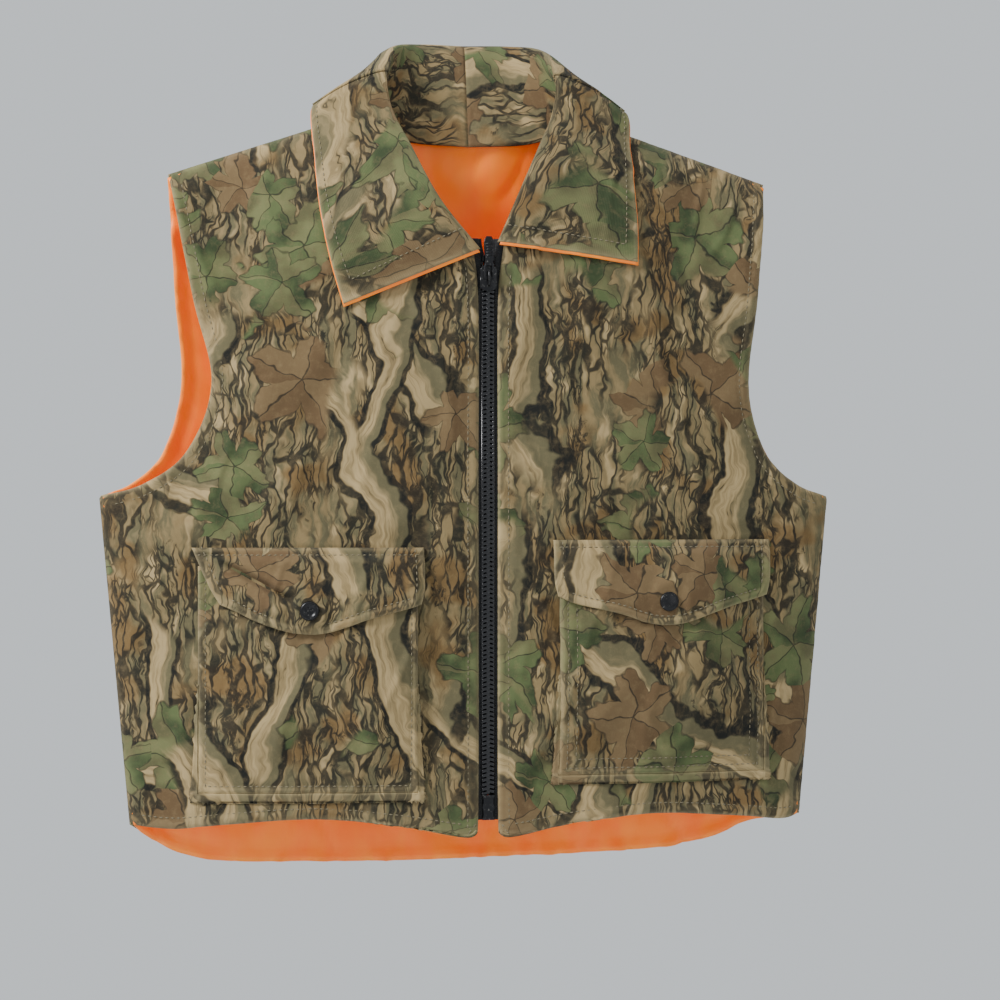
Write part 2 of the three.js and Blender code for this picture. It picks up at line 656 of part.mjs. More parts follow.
function sliderOutline(halfTop, halfLow) {
  const halfLength = SLIDER_LENGTH / 2;
  const shape = new THREE.Shape();
  shape.moveTo(ZIP_X - halfLow, SLIDER_Z - halfLength);
  shape.lineTo(ZIP_X + halfLow, SLIDER_Z - halfLength);
  shape.lineTo(ZIP_X + halfTop, SLIDER_Z + halfLength * 0.3);
  shape.quadraticCurveTo(ZIP_X + halfTop, SLIDER_Z + halfLength, ZIP_X, SLIDER_Z + halfLength);
  shape.quadraticCurveTo(ZIP_X - halfTop, SLIDER_Z + halfLength, ZIP_X - halfTop, SLIDER_Z + halfLength * 0.3);
  return shape;
}

function makeSlider() {
  const clear = CHAIN_THICK / 2 + SLIDER_ROOM;
  const halfTop = SLIDER_WIDTH / 2;
  const halfLow = halfTop - SLIDER_TAPER;
  const lipFrom = TAPE_THICK / 2 + GAP;
  const lipTop = SLIDER_Z + SLIDER_LENGTH * 0.2;
  const outline = sliderOutline(halfTop, halfLow);
  const lips = (y0, y1) => [-1, 1].map((sign) => {
    const x0 = ZIP_X + sign * halfLow;
    const x1 = ZIP_X + sign * (halfLow - LIP);
    return block([Math.min(x0, x1), y0, SLIDER_Z - SLIDER_LENGTH / 2], [Math.max(x0, x1), y1, lipTop]);
  });
  const frontPlate = upright(outline, TAPE_Y - clear - PLATE, TAPE_Y - clear);
  const face = TAPE_Y - clear - PLATE;
  const bailTop = face - BAIL_ROOM - BAIL_THICK;
  const halfBail = BAIL_SPAN / 2;
  const bailBlock = block(
    [ZIP_X - BAIL_WIDTH / 2, bailTop, SLIDER_Z - halfBail], [ZIP_X + BAIL_WIDTH / 2, face + FUSE, SLIDER_Z + halfBail],
  );
  const bailRoom = block(
    [ZIP_X - BAIL_WIDTH, face - BAIL_ROOM, SLIDER_Z - halfBail + BAIL_THICK],
    [ZIP_X + BAIL_WIDTH, face, SLIDER_Z + halfBail - BAIL_THICK],
  );
  const body = lips(TAPE_Y - clear - FUSE, TAPE_Y - lipFrom)
    .reduce((sum, lip) => sum.add(lip), frontPlate)
    .add(bailBlock.subtract(bailRoom));
  addPiece('slider_body', body, blackMetal());

  const backPlate = upright(outline, TAPE_Y + clear, TAPE_Y + clear + PLATE);
  const plate = lips(TAPE_Y + lipFrom, TAPE_Y + clear + FUSE).reduce((sum, lip) => sum.add(lip), backPlate);
  addPiece('slider_plate', plate, blackMetal());
  makePullTab(face - BAIL_ROOM / 2);
}

// The tab's end bar lies under the bail and its window lets the bail through
function makePullTab(barY) {
  const halfWidthTab = TAB_WIDTH / 2;
  const BAR = 1.2;
  const WINDOW_LENGTH = 6;
  const shape = new THREE.Shape();
  shape.moveTo(-halfWidthTab, -BAR / 2);
  shape.lineTo(halfWidthTab, -BAR / 2);
  shape.lineTo(halfWidthTab, TAB_LENGTH - 4);
  shape.quadraticCurveTo(halfWidthTab, TAB_LENGTH, 0, TAB_LENGTH);
  shape.quadraticCurveTo(-halfWidthTab, TAB_LENGTH, -halfWidthTab, TAB_LENGTH - 4);
  const hole = new THREE.Path();
  hole.moveTo(-TAB_WINDOW / 2, BAR / 2);
  hole.lineTo(-TAB_WINDOW / 2, BAR / 2 + WINDOW_LENGTH);
  hole.lineTo(TAB_WINDOW / 2, BAR / 2 + WINDOW_LENGTH);
  hole.lineTo(TAB_WINDOW / 2, BAR / 2);
  shape.holes.push(hole);
  const pivot = new THREE.Group();
  pivot.position.set(ZIP_X, barY, SLIDER_Z);
  pivot.rotation.x = -TAB_LEAN;
  vest.add(pivot);
  addPiece('pull_tab', upright(shape, -TAB_THICK / 2, TAB_THICK / 2), blackMetal(), pivot);
}

makeBack();
makeCollarBack();
for (const side of ['left', 'right']) {
  makeFront(side);
  makeCollarFront(side);
  makePocket(side);
  makeZipSide(side);
}
makeZipEnd();
makeSlider();

export default vest;
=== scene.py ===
"""A youth-size reversible field vest, hung up: camouflage cotton outside, blaze orange lining inside.

Metres, +Z up. The front faces -Y and +X is the viewer's right.
"""

import json
import math

import bmesh
import bpy
import numpy as np
from mathutils import Matrix, Vector
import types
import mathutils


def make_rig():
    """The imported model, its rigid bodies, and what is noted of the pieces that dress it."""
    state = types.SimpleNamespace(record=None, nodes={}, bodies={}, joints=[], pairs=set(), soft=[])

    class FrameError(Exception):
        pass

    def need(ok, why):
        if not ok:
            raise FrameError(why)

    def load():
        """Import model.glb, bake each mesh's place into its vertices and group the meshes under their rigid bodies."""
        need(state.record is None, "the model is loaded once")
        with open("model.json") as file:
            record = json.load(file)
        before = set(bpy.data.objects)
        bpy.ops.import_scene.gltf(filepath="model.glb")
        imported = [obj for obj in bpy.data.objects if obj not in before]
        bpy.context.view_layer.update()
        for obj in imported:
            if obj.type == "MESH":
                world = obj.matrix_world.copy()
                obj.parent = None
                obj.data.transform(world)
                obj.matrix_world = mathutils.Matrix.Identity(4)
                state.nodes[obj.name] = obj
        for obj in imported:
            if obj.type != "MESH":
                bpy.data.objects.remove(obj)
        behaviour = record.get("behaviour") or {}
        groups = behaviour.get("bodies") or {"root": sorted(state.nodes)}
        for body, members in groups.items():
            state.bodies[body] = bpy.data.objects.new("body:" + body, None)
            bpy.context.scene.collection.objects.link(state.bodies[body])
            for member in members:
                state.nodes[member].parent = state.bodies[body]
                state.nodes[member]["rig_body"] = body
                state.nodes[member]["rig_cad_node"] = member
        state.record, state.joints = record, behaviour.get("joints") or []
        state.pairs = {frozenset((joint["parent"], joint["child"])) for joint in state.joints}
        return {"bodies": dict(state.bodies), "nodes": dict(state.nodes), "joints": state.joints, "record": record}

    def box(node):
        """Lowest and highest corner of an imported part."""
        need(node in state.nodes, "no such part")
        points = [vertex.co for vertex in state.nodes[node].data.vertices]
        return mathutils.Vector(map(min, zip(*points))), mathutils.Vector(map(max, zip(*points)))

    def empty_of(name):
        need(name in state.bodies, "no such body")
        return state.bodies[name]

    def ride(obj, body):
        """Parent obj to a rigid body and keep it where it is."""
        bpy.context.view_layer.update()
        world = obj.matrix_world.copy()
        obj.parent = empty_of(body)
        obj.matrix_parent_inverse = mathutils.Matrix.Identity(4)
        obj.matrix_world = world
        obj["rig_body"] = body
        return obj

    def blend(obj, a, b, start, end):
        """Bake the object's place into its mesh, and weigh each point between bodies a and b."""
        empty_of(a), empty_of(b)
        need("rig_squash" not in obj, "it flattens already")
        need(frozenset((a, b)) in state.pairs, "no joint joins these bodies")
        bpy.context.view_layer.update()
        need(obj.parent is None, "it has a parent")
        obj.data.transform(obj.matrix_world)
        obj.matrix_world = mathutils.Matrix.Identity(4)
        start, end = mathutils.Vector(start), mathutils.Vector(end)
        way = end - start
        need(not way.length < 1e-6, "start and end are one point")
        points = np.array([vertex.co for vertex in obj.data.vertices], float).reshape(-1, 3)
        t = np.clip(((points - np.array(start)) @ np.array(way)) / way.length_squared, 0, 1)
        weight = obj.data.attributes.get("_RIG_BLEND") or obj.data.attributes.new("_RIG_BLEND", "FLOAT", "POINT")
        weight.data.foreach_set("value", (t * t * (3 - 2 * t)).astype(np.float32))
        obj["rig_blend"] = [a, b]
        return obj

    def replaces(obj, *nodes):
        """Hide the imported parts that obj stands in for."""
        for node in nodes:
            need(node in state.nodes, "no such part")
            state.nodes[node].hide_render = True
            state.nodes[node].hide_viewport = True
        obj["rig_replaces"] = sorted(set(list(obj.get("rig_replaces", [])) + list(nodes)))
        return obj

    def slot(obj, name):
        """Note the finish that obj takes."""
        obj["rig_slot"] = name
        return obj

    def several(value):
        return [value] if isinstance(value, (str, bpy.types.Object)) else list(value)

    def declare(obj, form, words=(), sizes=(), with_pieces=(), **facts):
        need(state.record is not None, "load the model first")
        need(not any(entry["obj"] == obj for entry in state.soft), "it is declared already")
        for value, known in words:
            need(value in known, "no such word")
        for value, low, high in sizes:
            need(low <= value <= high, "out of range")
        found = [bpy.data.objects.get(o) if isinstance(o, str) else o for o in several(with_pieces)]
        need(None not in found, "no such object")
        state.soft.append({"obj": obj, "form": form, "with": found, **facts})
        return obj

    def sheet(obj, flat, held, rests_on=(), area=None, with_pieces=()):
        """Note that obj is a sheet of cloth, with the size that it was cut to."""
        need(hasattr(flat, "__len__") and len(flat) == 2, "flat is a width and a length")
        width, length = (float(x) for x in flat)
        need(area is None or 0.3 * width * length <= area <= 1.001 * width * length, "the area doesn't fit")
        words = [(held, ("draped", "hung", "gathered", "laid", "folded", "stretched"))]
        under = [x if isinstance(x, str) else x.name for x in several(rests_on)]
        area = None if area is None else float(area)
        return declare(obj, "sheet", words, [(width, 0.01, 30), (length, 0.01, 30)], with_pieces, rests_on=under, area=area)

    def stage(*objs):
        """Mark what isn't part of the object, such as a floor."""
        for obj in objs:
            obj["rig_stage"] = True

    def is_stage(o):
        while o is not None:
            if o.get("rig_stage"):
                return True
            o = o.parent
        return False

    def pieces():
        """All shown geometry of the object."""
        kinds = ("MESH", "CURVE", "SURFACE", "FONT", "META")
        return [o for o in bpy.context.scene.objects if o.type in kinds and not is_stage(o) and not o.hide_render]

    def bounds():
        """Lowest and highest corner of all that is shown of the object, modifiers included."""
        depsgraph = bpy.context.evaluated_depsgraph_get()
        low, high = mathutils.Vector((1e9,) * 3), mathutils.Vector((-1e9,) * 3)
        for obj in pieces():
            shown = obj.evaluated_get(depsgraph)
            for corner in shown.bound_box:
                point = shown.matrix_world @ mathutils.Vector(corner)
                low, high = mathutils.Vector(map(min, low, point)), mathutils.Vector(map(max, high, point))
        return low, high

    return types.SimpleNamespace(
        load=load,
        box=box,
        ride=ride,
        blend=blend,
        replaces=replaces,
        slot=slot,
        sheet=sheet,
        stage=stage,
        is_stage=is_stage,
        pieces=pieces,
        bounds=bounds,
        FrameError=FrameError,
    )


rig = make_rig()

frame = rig.load()
cad_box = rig.bounds()

MM = 0.001
SIDES = {"left": -1, "right": 1}

# Body, from the frame and from the sizes that it was cut to
CHEST_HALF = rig.box("back_shell")[1].x
NECK_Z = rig.box("back_shell")[1].z
TAIL_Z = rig.box("back_shell")[0].z
HEM_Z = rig.box("front_shell_left")[0].z
ZIP_X = (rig.box("front_shell_left")[1].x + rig.box("front_shell_right")[0].x) / 2
FRONT_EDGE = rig.box("front_shell_right")[0].x - ZIP_X
HEM_HALF = 189 * MM
SHOULDER_HALF = 168 * MM
NECK_HALF = 70 * MM
TIP_Z = -28 * MM
UNDERARM_Z = -205 * MM
V_Z = -66 * MM
BACK_NECK_Z = -6 * MM
FRONT_DEPTH = 24 * MM
BACK_DEPTH = 22 * MM
CHEST_DROP = 90 * MM
ARMHOLE = {"left": 145 * MM, "right": 156 * MM, "back": 160 * MM}

# Cloth
SHELL = 0.8 * MM
LINING = 0.9 * MM
LINING_DEPTH = 3.5 * MM  # outer face of the shell to the face of the lining
SEAM_HALF = 3.7 * MM
STITCH_IN = 6 * MM  # edge to topstitch

# Pockets
BAG = {side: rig.box(f"pocket_bag_{side}") for side in SIDES}
POCKET_X = {side: (low.x + high.x) / 2 for side, (low, high) in BAG.items()}
POCKET_HALF = (BAG["left"][1].x - BAG["left"][0].x) / 2
POCKET_LOW = {side: low.z for side, (low, high) in BAG.items()}
MOUTH_Z = {side: high.z for side, (low, high) in BAG.items()}
FLAP_TOP = {side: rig.box(f"flap_shell_{side}")[1].z for side in SIDES}
FLAP_LOW = {side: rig.box(f"flap_shell_{side}")[0].z for side in SIDES}
FLAP_HALF = (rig.box("flap_shell_left")[1].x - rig.box("flap_shell_left")[0].x) / 2
FLAP_SIDE = 33 * MM
BAG_DEPTH = 10 * MM
FLAP_OUT = 14.7 * MM  # front's cloth to the flap's face, at the snap
FLAP_THICK = 1.9 * MM
SLUMP_TUCK = 13 * MM  # how far the left flap's outer corner is folded in
SNAP_Z = {side: FLAP_TOP[side] - 34 * MM for side in SIDES}

# Zip
CHAIN_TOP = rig.box("zip_chain_left")[1].z
CHAIN_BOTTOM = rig.box("zip_chain_left")[0].z
CHAIN_Y = (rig.box("zip_chain_left")[0].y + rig.box("zip_chain_left")[1].y) / 2


# --- numbers over the cloth ---------------------------------------------------------------------

def smooth(value, low, high):
    share = np.clip((value - low) / (high - low), 0, 1)
    return share * share * (3 - 2 * share)


def hashed(i, j, seed):
    value = np.sin(i * 12.9898 + j * 78.233 + seed * 37.719) * 43758.5453
    return value - np.floor(value)


def noise(x, z, seed):
    """Smooth noise from -1 to 1, with bumps one unit across."""
    i, j = np.floor(x), np.floor(z)
    s, t = smooth(x - i, 0, 1), smooth(z - j, 0, 1)
    low = hashed(i, j, seed) * (1 - s) + hashed(i + 1, j, seed) * s
    high = hashed(i, j + 1, seed) * (1 - s) + hashed(i + 1, j + 1, seed) * s
    return 2 * (low * (1 - t) + high * t) - 1


def folds(x, z, lean, across, along, seed):
    """Noise drawn out along a line that leans over to the right by lean degrees."""
    a = math.radians(lean)
    s = x * math.cos(a) - z * math.sin(a)
    t = x * math.sin(a) + z * math.cos(a)
    return noise(s / across, t / along, seed)


def creases(x, z, lean, across, along, seed, width):
    """Thin ridges where the noise changes sign, 0 to 1."""
    return np.maximum(0, 1 - np.abs(folds(x, z, lean, across, along, seed)) / width)


def half_width(z):
    share = np.clip((UNDERARM_Z - z) / (UNDERARM_Z - HEM_Z), 0, 1)
    return CHEST_HALF + (HEM_HALF - CHEST_HALF) * share


def shoulder_line(x):
    round_off = 20 * MM
    slope = (NECK_Z - TIP_Z) / (SHOULDER_HALF - NECK_HALF)
    return NECK_Z - (np.hypot(x, round_off) - math.hypot(NECK_HALF, round_off)) * slope


def bulge(x, z):
    across = 1 - np.minimum(np.abs(x) / half_width(z), 1) ** 2.2
    down = np.sin(math.pi / 2 * np.clip((shoulder_line(x) - z) / CHEST_DROP, 0, 1))
    return across * down


def rumple(x, z):
    """How far the worn cloth stands out in soft folds and creases."""
    soft = 2.1 * folds(x, z, 4, 0.034, 0.15, 1) + 1.5 * folds(x, z, -30, 0.03, 0.085, 2)
    fine = 0.7 * folds(x, z, 34, 0.012, 0.05, 3) + 0.55 * folds(x, z, -48, 0.010, 0.035, 4)
    sharp = 1.1 * creases(x, z, -24, 0.03, 0.09, 5, 0.22) + 0.8 * creases(x, z, 16, 0.024, 0.07, 6, 0.2)
    return (soft + fine + sharp) * 1.35 * MM


def drag(x, z):
    """Folds that run from the right side of the neck towards the armhole."""
    near = np.exp(-((x - 0.125) / 0.034) ** 2 - ((z + 0.085) / 0.055) ** 2)
    return near * 2.6 * MM * folds(x, z, -26, 0.011, 0.09, 7)


def sewn_flat(x, z):
    """How free the front is to rumple: the seams that hold the flaps keep it flat."""
    held = 0.0
    for side in SIDES:
        near = smooth(POCKET_HALF + 12 * MM - np.abs(x - POCKET_X[side]), 0, 14 * MM)
        held = np.maximum(held, near * np.exp(-((z - FLAP_TOP[side]) / (10 * MM)) ** 2))
    return 1 - 0.75 * held


def front_y(x, z):
    calm = sewn_flat(x, z) * smooth(np.abs(x - ZIP_X), 6 * MM, 24 * MM)
    calm = calm * smooth(shoulder_line(x) - z, 0, 26 * MM)
    calm = calm * smooth(half_width(z) - np.abs(x), -4 * MM, 14 * MM)
    return -(SEAM_HALF + FRONT_DEPTH * bulge(x, z)) - calm * (rumple(x, z) + drag(x, z))


def back_y(x, z):
    calm = smooth(shoulder_line(x) - z, 0, 26 * MM) * smooth(half_width(z) - np.abs(x), -4 * MM, 14 * MM)
    return SEAM_HALF + BACK_DEPTH * bulge(x, z) + calm * rumple(x + 0.5, z)


# --- lines --------------------------------------------------------------------------------------

def spline(points, steps=14):
    """A smooth line through points of any number of coordinates."""
    p = np.asarray(points, float)
    p = np.vstack([2 * p[0] - p[1], p, 2 * p[-1] - p[-2]])
    t = np.linspace(0, 1, steps, endpoint=False)[:, None]
    parts = []
    for a, b, c, d in zip(p[:-3], p[1:-2], p[2:-1], p[3:]):
        cubic = (-a + 3 * b - 3 * c + d) * t ** 3 + (2 * a - 5 * b + 4 * c - d) * t ** 2
        parts.append(0.5 * (cubic + (c - a) * t + 2 * b))
    return np.vstack(parts + [p[-2:-1]])


class Line:
    """A line through points, read at shares of its length."""

    def __init__(self, points):
        self.points = np.asarray(points, float)
        steps = np.linalg.norm(np.diff(self.points, axis=0), axis=1)
        self.length = steps.sum()
        self.share = np.concatenate([[0], np.cumsum(steps)]) / self.length

    def at(self, share):
        return np.stack([np.interp(share, self.share, c) for c in self.points.T], axis=-1)


def distance(place, line):
    """From each flat place to the nearest point of a line."""
    dense = line.at(np.linspace(0, 1, max(60, int(line.length / (0.9 * MM)))))
    found = [
        np.sqrt(((part[:, None, :] - dense[None]) ** 2).sum(2).min(1))
        for part in np.array_split(place, max(1, len(place) // 1500))
    ]
    return np.concatenate(found)


def patch(bottom, top, left, right, u, v):
    """Flat places inside four lines that meet at their ends."""
    b, t, l, r = bottom.at(u), top.at(u), left.at(v), right.at(v)
    u, v = u[:, None], v[:, None]
    corners = (
        (1 - u) * (1 - v) * bottom.points[0] + u * (1 - v) * bottom.points[-1]
        + (1 - u) * v * top.points[0] + u * v * top.points[-1]
    )
    return (1 - v) * b + v * t + (1 - u) * l + u * r - corners


# --- shader maths -------------------------------------------------------------------------------

class Value:
    """A shader socket. Arithmetic on it adds Math nodes."""

    def __init__(self, finish, socket):
        self.finish = finish
        self.socket = socket

    def math(self, operation, *others):
        return self.finish.node("ShaderNodeMath", {"operation": operation}, self, *others)

    def __add__(self, other):
        return self.math("ADD", other)

    __radd__ = __add__

    def __sub__(self, other):
        return self.math("SUBTRACT", other)

    def __rsub__(self, other):
        return self.finish.node("ShaderNodeMath", {"operation": "SUBTRACT"}, other, self)

    def __mul__(self, other):
        return self.math("MULTIPLY", other)

    __rmul__ = __mul__

    def __truediv__(self, other):
        return self.math("DIVIDE", other)

    def between(self, low, high):
        """0 below low, 1 above high, smooth between; low may be the larger."""
        settings = {"interpolation_type": "SMOOTHSTEP"}
        if low < high:
            return self.finish.node("ShaderNodeMapRange", settings, self, low, high, 0, 1)
        return 1 - self.finish.node("ShaderNodeMapRange", settings, self, high, low, 0, 1)


class Finish:
    """A material, and the methods that add its nodes."""

    def __init__(self, name, **constants):
        self.material = bpy.data.materials.new(name)
        self.material.use_nodes = True
        self.tree = self.material.node_tree
        self.shader = self.tree.nodes["Principled BSDF"]
        for socket, value in constants.items():
            self.shader.inputs[socket.replace("_", " ")].default_value = value

    def node(self, kind, settings, *values, output=0, **named):
        made = self.tree.nodes.new(kind)
        for key, value in settings.items():
            setattr(made, key, value)
        for socket, value in [*enumerate(values), *named.items()]:
            self.give(made.inputs[socket], value)
        return Value(self, made.outputs[output])

    def give(self, socket, value):
        if isinstance(value, Value):
            self.tree.links.new(value.socket, socket)
        elif value is not None:
            socket.default_value = value

    def mix(self, share, first, second):
        made = self.tree.nodes.new("ShaderNodeMix")
        made.data_type = "RGBA"
        self.give(made.inputs[0], share)
        for socket, value in ((made.inputs[6], first), (made.inputs[7], second)):
            self.give(socket, value if isinstance(value, Value) else (*value, 1))
        return Value(self, made.outputs[2])

    def vector(self, operation, first, second, output=0):
        return self.node("ShaderNodeVectorMath", {"operation": operation}, first, second, output=output)

    def scaled(self, place, x, y, z):
        return self.vector("MULTIPLY", place, (x, y, z))

    def noise(self, place, scale, detail=2.0, roughness=0.5, output=0):
        return self.node(
            "ShaderNodeTexNoise", {}, output=output,
            Vector=place, Scale=scale, Detail=detail, Roughness=roughness,
        )

    def attribute(self, name, output="Fac"):
        return self.node("ShaderNodeAttribute", {"attribute_name": name}, output=output)

    def place(self):
        return self.node("ShaderNodeTexCoord", {}, output="Object")

    def bump(self, height, strength, depth):
        made = self.node("ShaderNodeBump", {}, Strength=strength, Distance=depth, Height=height)
        self.to("Normal", made)

    def to(self, socket, value):
        self.give(self.shader.inputs[socket], value)


def linear(red, green, blue):
    """A screen colour of 0 to 255 as linear light."""
    shares = (red / 255, green / 255, blue / 255)
    return tuple(((c + 0.055) / 1.055) ** 2.4 if c > 0.04 else c / 12.92 for c in shares)


def weave(finish, place, pitch):
    """Height of a plain weave of that pitch, with slubs."""
    per = 2 * math.pi / pitch
    parts = finish.node("ShaderNodeSeparateXYZ", {}, place)
    x = Value(finish, parts.socket.node.outputs[0])
    z = Value(finish, parts.socket.node.outputs[2])
    threads = (x * per).math("SINE") * 0.5 + (z * per).math("SINE") * 0.5
    return threads + finish.noise(place, 900.0, 2.0) * 1.4


def camo_finish():
    """Bark, limbs and leaves printed on faded cotton, in the cloth's own flat coordinates."""
    made = Finish("camo_cotton", Roughness=0.93, Sheen_Weight=0.03, Sheen_Roughness=0.6)
    made.shader.inputs["Specular IOR Level"].default_value = 0.12
    cloth = made.attribute("cloth", "Vector")
    cm = made.scaled(cloth, 100, 100, 100)
    wander = made.vector("SUBTRACT", made.noise(cm, 0.28, 3.0, 0.6, output=1), (0.5, 0.5, 0.5))
    print_at = made.vector("ADD", cm, made.scaled(wander, 2.6, 0, 2.6))
    split = made.node("ShaderNodeSeparateXYZ", {}, print_at).socket.node
    x, z = Value(made, split.outputs[0]), Value(made, split.outputs[2])

    tan, khaki, olive = linear(162, 141, 101), linear(130, 112, 78), linear(94, 88, 64)
    brown, charcoal = linear(106, 82, 50), linear(27, 28, 26)
    leaf_green, leaf_dark, leaf_brown = linear(84, 94, 60), linear(54, 64, 42), linear(94, 75, 52)

    # Ground: long upright streaks of khaki and olive
    streak = made.noise(made.scaled(print_at, 1.5, 1, 0.34), 1.0, 4.0, 0.6)
    ground = made.mix(streak.between(0.42, 0.58), khaki, olive)
    pale = made.noise(made.scaled(print_at, 0.9, 1, 0.3), 1.3, 3.0)
    ground = made.mix(pale.between(0.55, 0.68), ground, tan)
    ground = made.mix(made.noise(cm, 0.33, 2.0).between(0.52, 0.62) * 0.8, ground, brown)

    # Bark: dark cracks round upright plates, thick where the bark is in shade
    ragged = made.noise(made.scaled(print_at, 3.2, 1, 1.5), 1.0, 3.0, 0.65) * 0.5
    shade = made.noise(made.scaled(print_at, 0.62, 1, 0.16), 1.0, 3.0, 0.6) + ragged
    bark = made.noise(made.scaled(cm, 0.3, 1, 0.16), 1.0, 2.0).between(0.36, 0.47)
    plates = []
    for across, along in ((1.9, 0.44), (3.6, 1.0)):
        cells = made.node(
            "ShaderNodeTexVoronoi", {"feature": "DISTANCE_TO_EDGE", "voronoi_dimensions": "3D"},
            Vector=made.scaled(print_at, across, 0, along), Scale=1.0, Randomness=1.0,
        )
        width = made.noise(cm, 0.9, 2.0) * 0.15 - 0.02
        plates.append((cells - width).between(0.06, -0.01))
    cracks = plates[0].math("MAXIMUM", plates[1] * made.noise(cm, 0.7, 1.0).between(0.45, 0.6))
    dark = (cracks * bark).math("MAXIMUM", shade.between(0.85, 0.92))
    colour = made.mix(dark * 0.88, ground, charcoal)

    # Limbs: smooth leaning bands with dark undersides
    for lean, period, half, seed in ((-52, 13.0, 0.95, 2.0), (17, 9.5, 0.8, 11.0), (-12, 11.0, 1.0, 23.0)):
        a = math.radians(lean)
        sway = made.noise(made.vector("ADD", made.scaled(cm, 0.1, 0, 0.1), (seed, 0, 0)), 1.0, 1.0) * 9
        across = x * math.cos(a) - z * math.sin(a) + sway + seed
        along = x * math.sin(a) + z * math.cos(a)
        band = ((across / period).math("FRACT") - 0.5) * period
        shown = made.noise(made.vector("ADD", made.scaled(cm, 0.07, 0, 0.07), (0, seed, 0)), 1.0, 1.0)
        shown = shown.between(0.5, 0.53)
        side = band.math("ABSOLUTE")
        grain_place = made.node("ShaderNodeCombineXYZ", {}, across * 3.4, along * 0.35, 0.0)
        grain = made.noise(grain_place, 1.0, 3.0, 0.6)
        limb = made.mix(grain.between(0.4, 0.62), tan, khaki)
        limb = made.mix(grain.between(0.62, 0.68) * 0.8, limb, charcoal)
        limb = made.mix((band + grain * 0.8).between(half * 0.45, half), limb, olive)
        colour = made.mix(side.between(half + 0.04, half) * shown, colour, limb)
        rim = side.between(half - 0.12, half) * (side - grain * 0.5).between(half + 0.12, half)
        colour = made.mix(rim * shown * 0.9, colour, charcoal)

    # Leaves: five-lobed, in clusters, green or brown, each turned its own way
    flat_place = made.node("ShaderNodeCombineXYZ", {}, x, z, 0.0)
    for size, seed, amount in ((6.0, 3.1, 0.48), (4.4, 17.7, 0.56)):
        moved = made.vector("ADD", made.scaled(flat_place, 1 / size, 1 / size, 0), (seed, seed * 0.7, 0))
        cells = made.node(
            "ShaderNodeTexVoronoi", {"feature": "F1", "voronoi_dimensions": "2D"},
            Vector=moved, Scale=1.0, Randomness=0.8,
        ).socket.node
        pick = made.node("ShaderNodeSeparateColor", {}, Value(made, cells.outputs["Color"])).socket.node
        turn, kind, luck = (Value(made, pick.outputs[i]) for i in range(3))
        local = made.vector("SUBTRACT", moved, Value(made, cells.outputs["Position"]))
        parts = made.node("ShaderNodeSeparateXYZ", {}, local).socket.node
        lx, lz = Value(made, parts.outputs[0]), Value(made, parts.outputs[1])
        around = lz.math("ARCTAN2", lx) + turn * 6.283
        out = (lx * lx + lz * lz).math("SQRT")
        lobe = (around * 2.5).math("COSINE").math("ABSOLUTE")
        tooth = (around * 19).math("SINE") * 0.02 + made.noise(cm, 1.6, 2.0) * 0.08
        edge = lobe * 0.22 + tooth + 0.2
        cluster = made.noise(made.vector("ADD", made.scaled(cm, 0.12, 0, 0.12), (seed, 0, 0)), 1.0, 1.0)
        grown = luck.between(amount - 0.01, amount + 0.01) * cluster.between(0.44, 0.47)
        mask = (out - edge).between(0.012, -0.012) * grown
        rib = ((around * 2.5).math("SINE").math("ABSOLUTE") * out).between(0.022, 0.008)
        green = made.mix(made.noise(cm, 0.55, 3.0).between(0.42, 0.6), leaf_green, leaf_dark)
        leaf = made.mix(kind.between(0.66, 0.67), green, leaf_brown)
        leaf = made.mix((around * 2.5).math("SINE").between(-0.3, 0.3) * 0.16, leaf, tan)
        leaf = made.mix(rib * 0.75, leaf, charcoal)
        outline = (out - edge).math("ABSOLUTE").between(0.022, 0.006) * grown * 0.5
        colour = made.mix(mask, colour, leaf)
        colour = made.mix(outline, colour, charcoal)

    # Fading: paler on the edges and along the ridges, and mottled all over
    mottle = made.noise(cm, 2.2, 5.0, 0.7)
    colour = made.mix(mottle.between(0.45, 0.75) * 0.16, colour, tan)
    fade = made.attribute("worn") * (0.45 + made.noise(made.scaled(cm, 1.2, 1, 1.2), 3.0, 2.0) * 0.7)
    colour = made.mix((fade * 0.5).math("MINIMUM", 0.42), colour, linear(182, 164, 122))
    made.to("Base Color", colour)
    made.bump(weave(made, cloth, 0.62 * MM), 0.35, 0.25 * MM)
    return made.material


def orange_finish():
    """Blaze orange taffeta, with a painted glow: a weak orange emission makes it shine as if lit from within."""
    made = Finish(
        "blaze_orange_lining", Roughness=0.4, Sheen_Weight=0.02, Sheen_Roughness=0.35, Emission_Strength=0.1,
    )
    cloth = made.attribute("cloth", "Vector")
    uneven = made.noise(made.scaled(cloth, 1, 1, 0.4), 60.0, 3.0)
    colour = made.mix(uneven.between(0.35, 0.65), linear(255, 122, 0), linear(255, 140, 6))
    grime = made.noise(cloth, 25.0, 4.0, 0.65).between(0.6, 0.8) * 0.18
    made.to("Base Color", made.mix(grime, colour, linear(222, 84, 4)))
    # Painted glow: this emission colour, at the strength of 0.1 set above, brightens the lining as if it were lit.
    made.shader.inputs["Emission Color"].default_value = (*linear(255, 118, 0), 1)
    made.to("Roughness", 0.34 + made.noise(cloth, 140.0, 2.0) * 0.16)
    made.bump(weave(made, cloth, 0.4 * MM), 0.2, 0.12 * MM)
    return made.material


def thread_finish(name, colour):
    made = Finish(name, Roughness=0.8, Sheen_Weight=0.2)
    fuzz = made.noise(made.place(), 2500.0, 2.0)
    made.to("Base Color", made.mix(fuzz.between(0.3, 0.7), colour, tuple(0.62 * c for c in colour)))
    made.bump(fuzz, 0.4, 0.1 * MM)
    return made.material


